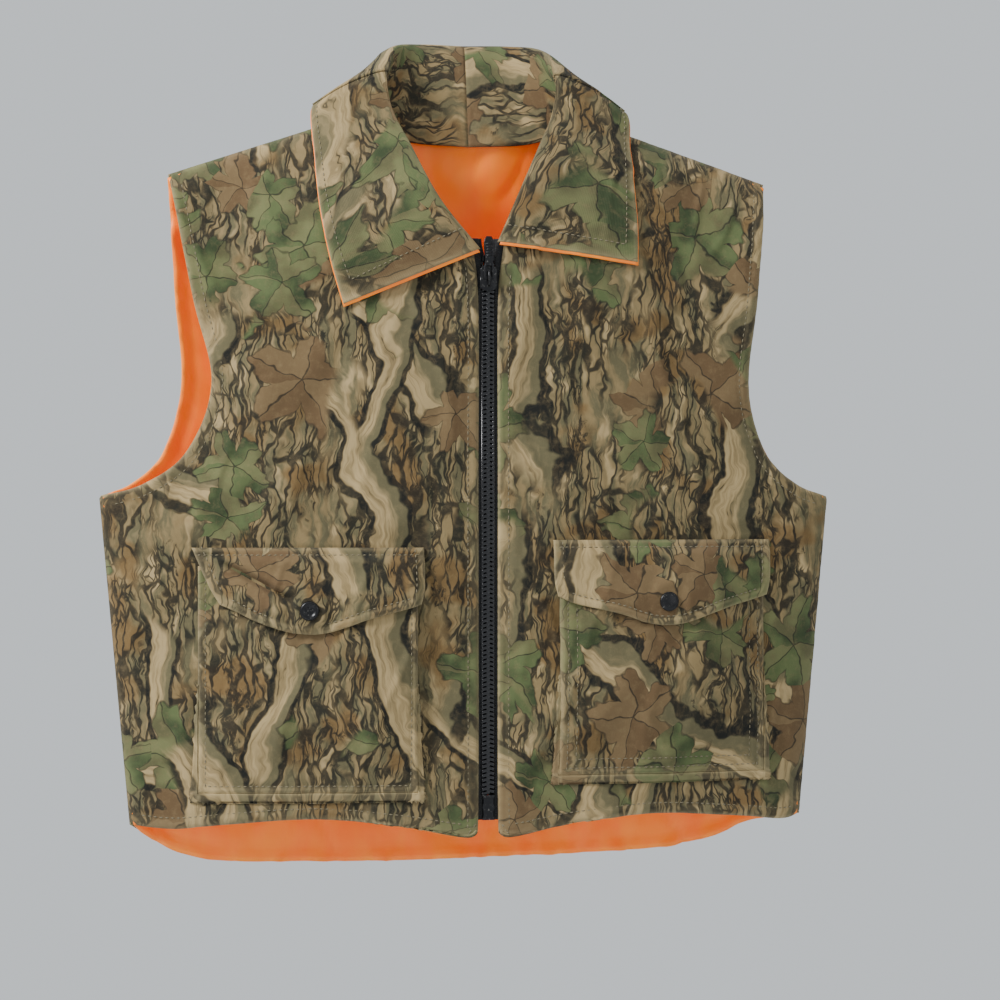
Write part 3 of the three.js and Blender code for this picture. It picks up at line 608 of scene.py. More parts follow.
def tape_finish():
    """Black woven tape with ribs across it."""
    made = Finish("zip_tape_black", Roughness=0.85, Sheen_Weight=0.15)
    place = made.place()
    lint = made.noise(place, 1400.0, 3.0)
    made.to("Base Color", made.mix(lint.between(0.55, 0.75), linear(22, 22, 23), linear(52, 51, 50)))
    made.bump(weave(made, place, 0.8 * MM), 0.6, 0.25 * MM)
    return made.material


def black_finish(name, colour, roughness, metallic, worn):
    """Glossy black, rubbed grey in small specks."""
    made = Finish(name, Metallic=metallic)
    place = made.place()
    rubbed = made.noise(place, 700.0, 4.0, 0.7).between(0.58, 0.74)
    made.to("Base Color", made.mix(rubbed, colour, worn))
    made.to("Roughness", roughness + made.noise(place, 500.0, 2.0) * 0.18)
    made.bump(made.noise(place, 1200.0, 2.0), 0.15, 0.08 * MM)
    return made.material


camo = camo_finish()
orange = orange_finish()
olive_thread = thread_finish("olive_thread", linear(120, 110, 82))
zip_tape = tape_finish()
zip_plastic = black_finish("zip_plastic", linear(16, 16, 18), 0.16, 0.0, linear(40, 40, 42))
black_metal = black_finish("black_metal", linear(26, 26, 28), 0.22, 0.55, linear(120, 118, 112))


# --- pieces -------------------------------------------------------------------------------------

def link(name, mesh, material, slot):
    made = bpy.data.objects.new(name, mesh)
    bpy.context.scene.collection.objects.link(made)
    mesh.materials.append(material)
    mesh.polygons.foreach_set("use_smooth", [True] * len(mesh.polygons))
    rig.slot(made, slot)
    return made


def solid(name, bm, material, slot):
    """A piece from a finished bmesh."""
    mesh = bpy.data.meshes.new(name)
    bm.to_mesh(mesh)
    bm.free()
    return link(name, mesh, material, slot)


def cloth(name, cells, shape, material, slot, thickness, outward):
    """A sheet of cloth whose face looks outward: shape turns shares across and up into places and wear."""
    bm = bmesh.new()
    bmesh.ops.create_grid(bm, x_segments=cells[0], y_segments=cells[1], size=0.5)
    mesh = bpy.data.meshes.new(name)
    bm.to_mesh(mesh)
    bm.free()
    share = np.zeros(len(mesh.vertices) * 3)
    mesh.vertices.foreach_get("co", share)
    share = share.reshape(-1, 3) + 0.5
    place, flat, worn = shape(share[:, 0], share[:, 1])
    mesh.vertices.foreach_set("co", place.ravel())
    layout = mesh.attributes.new("cloth", "FLOAT_VECTOR", "POINT")
    layout.data.foreach_set("vector", np.stack([flat[:, 0], np.zeros(len(flat)), flat[:, 1]], 1).ravel())
    wear = mesh.attributes.new("worn", "FLOAT", "POINT")
    wear.data.foreach_set("value", np.asarray(worn, float) * np.ones(len(flat)))
    mesh.update()
    facing = np.zeros(len(mesh.polygons) * 3)
    mesh.polygons.foreach_get("normal", facing)
    if facing.reshape(-1, 3).mean(0) @ np.array(outward) < 0:
        mesh.flip_normals()
    made = link(name, mesh, material, slot)
    if thickness:
        layer = made.modifiers.new("thickness", "SOLIDIFY")
        layer.thickness = thickness
        layer.offset = -1
    return made


def area_of(line):
    """Flat area inside a closed line, and the width and length of its box."""
    p = np.asarray(line)
    q = np.roll(p, -1, axis=0)
    size = p.max(0) - p.min(0)
    return abs((p[:, 0] * q[:, 1] - q[:, 0] * p[:, 1]).sum()) / 2, size


def stitches(name, paths, material, slot, pitch=3.2 * MM):
    """Thread along paths of 3-D places: one small oval for each stitch."""
    bm = bmesh.new()
    for path in paths:
        line = Line(path)
        count = max(2, int(line.length / pitch))
        for i in range(count):
            low, high = line.at(np.array([(i + 0.16) / count, (i + 0.84) / count]))
            along = Vector(high - low)
            middle = Vector((low + high) / 2)
            turn = along.to_track_quat("X", "Z").to_matrix().to_4x4()
            size = Matrix.Diagonal((along.length / 2, 0.34 * MM, 0.34 * MM, 1))
            place = Matrix.Translation(middle) @ turn @ size
            bmesh.ops.create_icosphere(bm, subdivisions=1, radius=1, matrix=place)
    return solid(name, bm, material, slot)


JOINTS = {joint["name"]: joint for joint in frame["joints"]}


def fold(piece, side):
    """Bends a piece about a front's fold line: the side of the vest stays, and the front swings."""
    joint = JOINTS[f"front_{side}_swing"]
    sign = SIDES[side]
    at = Vector(joint["pos_m"])
    slope = abs(joint["axis"][0] / joint["axis"][2]) - 0.05
    inward = Vector((-sign, 0, -slope)).normalized()
    start = at + Vector((sign * 8 * MM, 0, 0))
    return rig.blend(piece, "vest_back", f"front_{side}", start=start, end=start + inward * 22 * MM)


# --- body panels --------------------------------------------------------------------------------

def armhole(sign, half):
    """Flat line from the underarm up to the shoulder tip."""
    def between(a, b, share):
        return a + (b - a) * share
    down = [(sign * SHOULDER_HALF, TIP_Z)]
    for across, low, high, share in (
        (0.55, SHOULDER_HALF, half, 0.38), (1, SHOULDER_HALF, half, 0.65),
        (0.22, half, CHEST_HALF, 0.86), (0.6, half, CHEST_HALF, 0.96), (1, half, CHEST_HALF, 1),
    ):
        down.append((sign * between(low, high, across), between(TIP_Z, UNDERARM_Z, share)))
    return spline(down)[::-1]


def side_line(sign, half):
    """Up the side seam and the armhole to the shoulder tip."""
    side = [(sign * HEM_HALF, HEM_Z), (sign * (CHEST_HALF + HEM_HALF) / 2, (HEM_Z + UNDERARM_Z) / 2)]
    return Line(np.vstack([side, armhole(sign, half)]))


def front_lines(side, edge):
    """The four flat lines round a front: hem, shoulder, zip edge with neckline, side with armhole."""
    sign = SIDES[side]
    edge_x = ZIP_X + sign * edge
    hem_drops = ((1.5, -3.5), (5, -6), (14, -5.5), (45, -0.5), (90, 3.5), (140, 0.5), (165, -2))
    hem = [(edge_x + sign * d * MM, HEM_Z + dz * MM) for d, dz in hem_drops]
    hem = spline([*hem, (sign * HEM_HALF, HEM_Z)])
    start = hem[0]
    flare = 3.2 * MM
    zip_edge = spline([
        start, (edge_x, HEM_Z + 12 * MM), (edge_x, -0.2), (edge_x, -0.1), (edge_x + sign * flare, V_Z),
    ])
    neckline = spline([
        (edge_x + sign * flare, V_Z), (sign * 0.032, V_Z + 0.3 * (NECK_Z - V_Z)),
        (sign * 0.056, V_Z + 0.65 * (NECK_Z - V_Z)), (sign * NECK_HALF, NECK_Z),
    ])
    inner = Line(np.vstack([zip_edge[:-1], neckline]))
    outer = side_line(sign, ARMHOLE[side])
    shoulder = Line([(sign * NECK_HALF, NECK_Z), (sign * SHOULDER_HALF, TIP_Z)])
    return Line(hem), shoulder, inner, outer


def back_lines(inset=0.0):
    """Round the back: tail hem, shoulders with neckline, left side, right side."""
    side = HEM_HALF - inset
    tail = [
        (-side, HEM_Z), (-0.176, HEM_Z - 9 * MM), (-0.158, HEM_Z - 18 * MM), (-0.128, TAIL_Z + 0.5 * MM),
        (-0.06, TAIL_Z - 2 * MM), (0.03, TAIL_Z - 1 * MM), (0.1, TAIL_Z + 2 * MM), (0.138, HEM_Z - 14 * MM),
        (0.16, HEM_Z - 5 * MM), (side, HEM_Z),
    ]
    scoop = -3.4 * MM
    neck = spline([
        (-NECK_HALF, NECK_Z), (-0.04, scoop), (0, BACK_NECK_Z), (0.04, scoop), (NECK_HALF, NECK_Z),
    ])
    top = Line(np.vstack([[(-SHOULDER_HALF, TIP_Z)], neck, [(SHOULDER_HALF, TIP_Z)]]))
    return Line(spline(tail)), top, side_line(-1, ARMHOLE["back"]), side_line(1, ARMHOLE["back"])


def split_side(line):
    """The seam and the armhole of a side line."""
    seam = line.points[line.points[:, 1] <= UNDERARM_Z + 1e-6]
    hole = line.points[line.points[:, 1] >= UNDERARM_Z - 1e-6]
    return Line(seam), Line(hole)


def panel(lines, face_y, inward, layer, free_lines, seam_lines):
    """A shape for cloth: free edges roll over, and seams close on the next panel."""
    def shape(u, v):
        flat = patch(*lines, u, v)
        x, z = flat[:, 0], flat[:, 1]
        free = np.min([distance(flat, line) for line in free_lines], axis=0)
        seam = np.min([distance(flat, line) for line in seam_lines], axis=0)
        if layer == "lining":
            tuck = 2.2 * MM * (1 - np.clip(seam / (9 * MM), 0, 1))
            low = z < UNDERARM_Z + 2 * MM
            x = x - np.sign(x) * tuck * low
            z = z - tuck * ~low
        closed = 0.12 + 0.88 * np.sqrt(np.clip(seam / (9 * MM), 0, 1))
        y = face_y(x, z)
        y = np.sign(y) * np.maximum(np.abs(y) - SEAM_HALF * (1 - closed), 0.4 * MM)
        pucker = noise(x / (7 * MM), z / (7 * MM), 31) * np.exp(-free / (8 * MM)) * 0.55 * MM
        pucker = pucker + noise(x / (6 * MM), z / (6 * MM), 32) * np.exp(-seam / (7 * MM)) * 0.6 * MM
        pucker = pucker * smooth(free, 0, 4 * MM)
        if layer == "shell":
            roll = 1.3 * MM * (1 - np.clip(free / (2.5 * MM), 0, 1)) ** 2
            groove = 0.55 * MM * np.exp(-((free - STITCH_IN) / (1.1 * MM)) ** 2)
            groove = groove + 0.7 * MM * np.exp(-((seam - 1.5 * MM) / (1.3 * MM)) ** 2)
            depth = roll + groove - pucker
        else:
            depth = LINING_DEPTH * closed - 0.8 * MM * (1 - np.clip(free / (3 * MM), 0, 1)) ** 2 - pucker
        place = np.stack([x, y + inward * depth, z], axis=1)
        worn = np.exp(-free / (1.1 * MM)) + 0.2 * np.exp(-((free - 5 * MM) / (1.2 * MM)) ** 2)
        worn = worn + 0.25 * np.exp(-seam / (1.5 * MM))
        return place, flat, worn
    return shape


def make_front(side):
    layers = (("shell", FRONT_EDGE, (92, 186)), ("lining", FRONT_EDGE + 1.6 * MM, (60, 120)))
    for layer, edge, cells in layers:
        lines = front_lines(side, edge)
        hem, shoulder, inner, outer = lines
        seam, hole = split_side(outer)
        shape = panel(lines, front_y, 1, layer, [hem, inner, hole], [shoulder, seam])
        is_shell = layer == "shell"
        material, slot = (camo, "camo_cotton") if is_shell else (orange, "orange_lining")
        name = f"{'camo' if is_shell else 'orange'}_front_{side}"
        thickness, outward = (SHELL, (0, -1, 0)) if is_shell else (LINING, (0, 1, 0))
        made = cloth(name, cells, shape, material, slot, thickness, outward)
        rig.replaces(made, f"front_{layer}_{side}", f"side_{layer}_{side}")
        outline = np.vstack([hem.points, outer.points, shoulder.points[::-1], inner.points[::-1]])
        area, size = area_of(outline)
        fold(made, side)
        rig.sheet(made, flat=tuple(size), held="hung", rests_on=["camo_back"], area=area)
    make_front_stitching(side)


def offset_line(line, distance_in, towards):
    """A flat line moved in by a distance, towards a place."""
    p = line.at(np.linspace(0, 1, max(8, int(line.length / (2 * MM)))))
    along = np.gradient(p, axis=0)
    across = np.stack([-along[:, 1], along[:, 0]], 1)
    across /= np.linalg.norm(across, axis=1)[:, None]
    side = np.sign(((np.asarray(towards) - p) * across).sum(1))
    return p + across * side[:, None] * distance_in


def on_front(flat, out=0.0):
    return np.stack([flat[:, 0], front_y(flat[:, 0], flat[:, 1]) - out, flat[:, 1]], axis=1)


def make_front_stitching(side):
    sign = SIDES[side]
    hem, _, inner, outer = front_lines(side, FRONT_EDGE)
    hole = split_side(outer)[1]
    middle = (sign * 0.09, -0.22)
    paths = []
    for line, low, high in ((hem, 0.02, 0.97), (inner, 0.02, 0.76), (hole, 0.03, 0.97)):
        moved = Line(offset_line(line, STITCH_IN, middle)).at(np.linspace(low, high, 160))
        paths.append(on_front(moved, -0.35 * MM))
    made = stitches(f"front_stitching_{side}", paths, olive_thread, "camo_cotton")
    fold(made, side)


def make_back():
    bottom, top, left, right = back_lines()
    (left_seam, left_hole), (right_seam, right_hole) = split_side(left), split_side(right)
    shoulders = [
        Line([(sign * NECK_HALF, NECK_Z), (sign * SHOULDER_HALF, TIP_Z)]) for sign in (-1, 1)
    ]
    neck = Line(top.points[1:-1])
    free, seams = [bottom, left_hole, right_hole, neck], [left_seam, right_seam, *shoulders]
    outline = np.vstack([bottom.points, right.points, top.points[::-1], left.points[::-1]])
    area, size = area_of(outline)
    lines = (bottom, top, left, right)

    shell = panel(lines, back_y, -1, "shell", free, seams)
    made = cloth("camo_back", (170, 165), shell, camo, "camo_cotton", SHELL, (0, 1, 0))
    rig.replaces(made, "back_shell")
    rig.ride(made, "vest_back")
    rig.sheet(made, flat=tuple(size), held="hung", rests_on=["hanger_seat"], area=area)

    base = panel(lines, back_y, -1, "lining", free, seams)

    def rolled(u, v):
        place, flat, worn = base(u, v)
        x, z = flat[:, 0], flat[:, 1]
        hole = np.minimum(distance(flat, left_hole), distance(flat, right_hole))
        tail = distance(flat, bottom)
        frill = noise(x / (5 * MM), z / (5 * MM), 41) * 0.9 * MM
        curl = (1 - np.clip(hole / (7 * MM), 0, 1)) ** 2 * (3.2 * MM + frill)
        curl = curl + (1 - np.clip(tail / (9 * MM), 0, 1)) ** 2 * (2.4 * MM + 1.6 * frill)
        low = smooth(HEM_Z + 30 * MM - z, 0, 50 * MM)
        loose = 2.4 * MM * folds(x, z, 24, 0.03, 0.05, 42)
        sway = low * (loose + 1.4 * MM * creases(x, z, -30, 0.022, 0.05, 43, 0.3))
        place[:, 1] -= curl + sway
        groove = np.exp(-((tail - 7 * MM) / (1.1 * MM)) ** 2) + np.exp(-((hole - 7 * MM) / (1.1 * MM)) ** 2)
        place[:, 1] += 0.8 * MM * groove
        return place, flat, worn

    made = cloth("orange_back", (150, 150), rolled, orange, "orange_lining", LINING, (0, -1, 0))
    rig.replaces(made, "back_lining")
    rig.ride(made, "vest_back")
    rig.sheet(made, flat=tuple(size), held="hung", rests_on=["hanger_seat"], area=area)

    moved = Line(offset_line(bottom, STITCH_IN, (0, -0.2))).at(np.linspace(0.02, 0.98, 240))
    holes = [
        Line(offset_line(line, STITCH_IN, (0, -0.2))).at(np.linspace(0.03, 0.97, 120))
        for line in (left_hole, right_hole)
    ]
    paths = [
        np.stack([flat[:, 0], back_y(flat[:, 0], flat[:, 1]) - 0.35 * MM, flat[:, 1]], axis=1)
        for flat in (moved, *holes)
    ]
    made = stitches("back_stitching", paths, olive_thread, "camo_cotton")
    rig.ride(made, "vest_back")


# --- collar -------------------------------------------------------------------------------------

ROLL_BACK = [(0, 27, 50), (25, 24, 50), (42, 11, 46), (48, -5, 31)]
ROLL_FRONT = [(46, 11), (36, -11), (21, -42)]
SEAM_BACK = [(0, 7.5, -9), (34, 6, -7), (57, 3.5, 0.5), (66, -1, 5)]
SEAM_FRONT = [(61, -1), (46, -22), (26, -43)]
FALL_BACK = [(0, 25, -5), (34, 24, -4), (68, 15, 1), (88, 1, 12)]
FALL_FRONT = {
    "left": [(88, -20), (86, -48), (81, -76), (74, -100)],
    "right": [(89, -10), (90, -32), (91, -54), (90, -75)],
}
COLLAR_END = {"left": (6 - 5, -69), "right": (6 + 5, -65)}
CUT = 3  # the knot where the back of the collar meets a wing
KNOTS = 7
WING_REST = 2.4 * MM
COLLAR_CLOTH = 0.9 * MM


class Collar:
    """One half of the collar: s runs from the middle of the back to the front end, in knots;
    t from the fall's outer edge (0) over the roll (0.5) to the neck seam (1)."""

    def __init__(self, side):
        self.side, self.sign = side, SIDES[side]

        def front(points, rest):
            flat = np.array([(self.sign * x * MM, z * MM) for x, z in points])
            return [tuple(p) for p in on_front(flat, rest)]

        def back(points):
            return [(self.sign * x * MM, y * MM, z * MM) for x, y, z in points]
        end = COLLAR_END[side]
        end_flat = np.array([(end[0] * MM, end[1] * MM)])
        roll_end, seam_end = (tuple(on_front(end_flat, out)[0]) for out in (3 * MM, -1 * MM))
        self.roll = spline([*back(ROLL_BACK), *front(ROLL_FRONT, 4.5 * MM), roll_end])
        self.seam = spline([*back(SEAM_BACK), *front(SEAM_FRONT, -2 * MM), seam_end])
        self.fall = spline(back(FALL_BACK) + front(FALL_FRONT[side], WING_REST))
        self.knots = np.linspace(0, KNOTS, len(self.roll))

    def guide(self, line, s):
        return np.stack([np.interp(s, self.knots, c) for c in line.T], axis=-1)

    def place(self, s, t):
        edge, roll, seam = (self.guide(line, s) for line in (self.fall, self.roll, self.seam))
        turn = np.stack([-roll[:, 0], -roll[:, 1], np.zeros(len(s))], 1)
        turn /= np.linalg.norm(turn, axis=1)[:, None]
        turn = turn * np.interp(s, [0, CUT, KNOTS], [20, 16, 5])[:, None] * MM
        on_fall = t <= 0.5
        first, last = np.where(on_fall[:, None], edge, roll), np.where(on_fall[:, None], roll, seam)
        straight = last - first
        leave = np.where(on_fall[:, None], straight, turn)
        arrive = np.where(on_fall[:, None], turn, straight)
        q = np.where(on_fall, t * 2, t * 2 - 1)[:, None]
        place = (
            (2 * q ** 3 - 3 * q ** 2 + 1) * first + (q ** 3 - 2 * q ** 2 + q) * leave
            + (3 * q ** 2 - 2 * q ** 3) * last + (q ** 3 - q ** 2) * arrive
        )
        crown = np.sin(np.pi * np.clip(t * 2, 0, 1)) * on_fall
        out = -turn / np.linalg.norm(turn, axis=1)[:, None]
        place = place + out * (crown * np.interp(s, [0, CUT, KNOTS], [3, 3, 1]) * MM)[:, None]
        x, z = place[:, 0], place[:, 2]
        wave = folds(x, z, 20 * self.sign, 0.022, 0.06, 51)
        wave = wave + 0.9 * creases(x, z, -18, 0.02, 0.07, 52, 0.3)
        wave = wave * smooth(s, 0.3, 1.0) * np.sin(np.pi * np.clip(t * 2, 0.04, 1)) * on_fall
        place = place + out * (wave * 1.3 * MM)[:, None]
        rest = front_y(x, z) - WING_REST
        resting = smooth(s, CUT, CUT + 1.2) * on_fall
        over = np.maximum(place[:, 1] - rest, 0)
        place[:, 1] -= over * resting
        return place

    def flat(self, s, t):
        fall = Line(self.fall).length
        return np.stack([self.sign * t * 0.11, -s / KNOTS * fall], axis=1) + np.array([0.31, 0.27])

    def cut(self, s0, s1, t0, t1):
        """The flat size and area of a strip of collar: its longest row and column, unrolled."""
        along, over = np.linspace(s0, s1, 60), np.linspace(t0, t1, 30)
        rows = [Line(self.place(along, np.full(60, t))).length for t in over]
        columns = [Line(self.place(np.full(30, s), over)).length for s in along]
        return {"flat": (max(rows), max(columns)), "area": float(np.mean(rows) * np.mean(columns))}

    def worn(self, s, t):
        along_roll = 0.45 * np.exp(-np.abs(t - 0.5) / 0.02)
        return 0.9 * np.exp(-t / 0.012) + along_roll + 0.9 * np.exp(-(KNOTS - s) / 0.10)


def make_collar(side):
    sign = SIDES[side]
    half = Collar(side)
    joint = JOINTS[f"collar_{side}_lift"]
    at, axis = Vector(joint["pos_m"]), Vector(joint["axis"])
    across = axis.cross(Vector((0, 1, 0))).normalized()
    across = across if across.x * sign > 0 else -across

    def lifting(piece):
        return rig.blend(
            piece, f"front_{side}", f"collar_{side}", start=at + across * 7 * MM, end=at + across * 38 * MM,
        )

    def joining(piece):
        start = Vector((sign * 12 * MM, 0, 0))
        end = start + Vector((sign * 34 * MM, 0, 0))
        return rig.blend(piece, "vest_back", f"front_{side}", start=start, end=end)

    def strip(s0, s1, t0, t1, inset=0.0, edge_out=0.0):
        def shape(u, v):
            s, t = s0 + (s1 - s0) * u, t0 + (t1 - t0) * v
            place = half.place(s, t)
            if inset:
                near_s, near_t = np.clip(s - 0.02, 0, KNOTS), np.clip(t - 0.01, 0, 1)
                along = half.place(near_s + 0.04, t) - half.place(near_s, t)
                over = half.place(s, near_t + 0.02) - half.place(s, near_t)
                normal = np.cross(along, over)
                normal /= np.linalg.norm(normal, axis=1)[:, None] + 1e-12
                place = place - normal * sign * inset
            if edge_out:
                low = half.guide(half.fall, s) - half.guide(half.roll, s)
                tip, before = (half.guide(half.fall, np.full(len(s), knot)) for knot in (KNOTS, KNOTS - 0.3))
                down = tip - before
                down = down / np.linalg.norm(down, axis=1)[:, None]
                low = low / np.linalg.norm(low, axis=1)[:, None]
                place = place + down * (edge_out * smooth(s, KNOTS - 0.25, KNOTS))[:, None]
                place = place + low * (0.5 * MM * smooth(t, 0.05, 0))[:, None]
            return place, half.flat(s, t), half.worn(s, t)
        return shape

    out = (0, 1, 0)
    back = cloth(
        f"collar_back_{side}", (40, 56), strip(0, CUT, 0, 1), camo, "camo_cotton", COLLAR_CLOTH, out,
    )
    under = cloth(
        f"collar_back_under_{side}", (30, 40), strip(0, CUT, 0.01, 0.36, -1.6 * MM), orange, "orange_lining",
        0.6 * MM, (0, -1, 0),
    )
    wing = cloth(
        f"camo_wing_{side}", (84, 50), strip(CUT, KNOTS, 0, 0.5), camo, "camo_cotton", COLLAR_CLOTH,
        (0, -1, 0),
    )
    wing_under = cloth(
        f"collar_wing_under_{side}", (70, 40), strip(CUT, KNOTS, 0, 0.48, -1.3 * MM, 1.7 * MM), orange,
        "orange_lining", 0.8 * MM, (0, 1, 0),
    )
    stand = cloth(
        f"camo_stand_{side}", (70, 20), strip(CUT, KNOTS, 0.5, 1), camo, "camo_cotton", COLLAR_CLOTH,
        (-sign, 1, 0),
    )
    if side == "left":
        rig.replaces(back, "collar_fall_back", "collar_stand_back")
    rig.replaces(wing, f"collar_wing_{side}")
    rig.replaces(wing_under, f"collar_under_{side}")
    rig.replaces(stand, f"collar_stand_{side}")
    for piece, upto in ((back, 1), (under, 0.36)):
        joining(piece)
        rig.sheet(piece, **half.cut(0, CUT, 0, upto), held="folded", rests_on=["camo_back"])
    for piece in (wing, wing_under):
        lifting(piece)
        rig.sheet(piece, **half.cut(CUT, KNOTS, 0, 0.5), held="folded", rests_on=[f"camo_front_{side}"])
    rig.ride(stand, f"front_{side}")
    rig.sheet(stand, **half.cut(CUT, KNOTS, 0.5, 1), held="folded", rests_on=[f"camo_front_{side}"])

    in_fall = 0.5 * 5.5 * MM / (0.06)
    s = np.linspace(CUT - 0.2, KNOTS - 0.42, 90)
    edge_path = half.place(s, np.full(len(s), in_fall))
    t = np.linspace(in_fall, 0.47, 60)
    low_path = half.place(np.full(len(t), KNOTS - 0.42), t)
    lift = np.array([0, -0.15 * MM, 0])
    paths = [edge_path + lift, low_path + lift]
    made = stitches(f"collar_stitching_{side}", paths, olive_thread, "camo_cotton")
    lifting(made)


# --- pockets ------------------------------------------------------------------------------------

def bag_height(side, x, z):
    """How far the pocket bag stands off the front."""
    sign = SIDES[side]
    inner = POCKET_HALF + sign * (x - POCKET_X[side])
    outer = 2 * POCKET_HALF - inner
    low = z - POCKET_LOW[side]
    full = BAG_DEPTH - 0.6 * MM

    def wall(gap, first, width, reach):
        steep = np.sqrt(np.clip(gap / width, 0, 1))
        return 0.9 * MM + first * steep + (full - first) * smooth(gap, width, reach)
    height = np.minimum(wall(inner, 5.2 * MM, 1.5 * MM, 34 * MM), wall(outer, 1.6 * MM, 1.5 * MM, 40 * MM))
    height = np.minimum(height, wall(low, 1.4 * MM, 1.5 * MM, 44 * MM))
    height = height * (1 - 0.42 * smooth(z, MOUTH_Z[side] - 24 * MM, MOUTH_Z[side]))
    slack = smooth(np.minimum(np.minimum(inner, outer), low), 0, 20 * MM)
    slack = slack * smooth(MOUTH_Z[side] - z, 0, 20 * MM)
    soft = 0.9 * folds(x, z, 8 * sign, 0.02, 0.07, 61) - 0.7
    soft = soft + 0.7 * creases(x, z, -30 * sign, 0.025, 0.06, 62, 0.25)
    return height + slack * soft * MM


def flap_height(side, x, z):
    """How far the flap stands off the front: sewn at the top, on the bag below, pressed at the snap."""
    top = FLAP_TOP[side]
    ramp = smooth(top - z, -1 * MM, 8.5 * MM)
    on_bag = np.maximum(bag_height(side, x, np.minimum(z, MOUTH_Z[side])), 1.5 * MM) + FLAP_THICK + 1.2 * MM
    to_snap = np.hypot(x - POCKET_X[side], z - SNAP_Z[side])
    on_bag = np.maximum(on_bag, FLAP_OUT * np.exp(-(to_snap / (26 * MM)) ** 2))
    pull = -0.5 * MM * np.exp(-((to_snap - 9 * MM) / (3 * MM)) ** 2)
    seam = 1.6 * MM + 0.7 * MM * np.exp(-((top - z - 2 * MM) / (1.6 * MM)) ** 2)
    height = seam * (1 - ramp) + on_bag * ramp + pull
    if side == "left":
        height = height + slouch(x, z) * ramp
    return height


def slouch(x, z):
    """The left flap has slumped: a deep crease runs from its outer top corner down to the snap."""
    start = np.array([POCKET_X["left"] - FLAP_HALF + 19 * MM, FLAP_TOP["left"] - 8 * MM])
    end = np.array([POCKET_X["left"] - 5 * MM, SNAP_Z["left"] + 4 * MM])
    along = (end - start) / np.linalg.norm(end - start)
    down = np.array([along[1], -along[0]])
    down = down if down[1] < 0 else -down
    s = (x - start[0]) * along[0] + (z - start[1]) * along[1]
    d = (x - start[0]) * down[0] + (z - start[1]) * down[1]
    length = np.linalg.norm(end - start)
    present = smooth(s, -8 * MM, 8 * MM) * smooth(length - s, 0, 9 * MM)
    ridge = 2.6 * MM * np.exp(-((d + 3 * MM) / (3.2 * MM)) ** 2)
    valley = -4.6 * MM * np.exp(-((d - 1.2 * MM) / (1.7 * MM)) ** 2)
    swell = 2.6 * MM * np.exp(-((d - 9 * MM) / (5 * MM)) ** 2)
    return present * (ridge + valley + swell)


def flap_lines(side):
    middle, top, low = POCKET_X[side], FLAP_TOP[side], FLAP_LOW[side]
    side_low = top - FLAP_SIDE
    left_x, right_x = middle - FLAP_HALF, middle + FLAP_HALF
    left_tuck = SLUMP_TUCK if side == "left" else 0
    bottom = spline([
        (left_x + left_tuck + 2 * MM, side_low + 2 * MM), (left_x + left_tuck + 11 * MM, side_low - 2 * MM),
        (middle - FLAP_HALF * 0.44, side_low - 7.5 * MM),
        (middle - 9 * MM, low + 0.7 * MM), (middle + 9 * MM, low + 0.7 * MM),
        (middle + FLAP_HALF * 0.5, side_low - 6 * MM), (right_x - 12 * MM, side_low - 1 * MM),
        (right_x - 2 * MM, side_low + 2 * MM),
    ])
    left = spline([bottom[0], (left_x + left_tuck * 0.7, side_low + 12 * MM), (left_x, top)])
    right = spline([bottom[-1], (right_x, side_low + 12 * MM), (right_x, top)])
    return Line(bottom), Line([(left_x, top), (right_x, top)]), Line(left), Line(right)


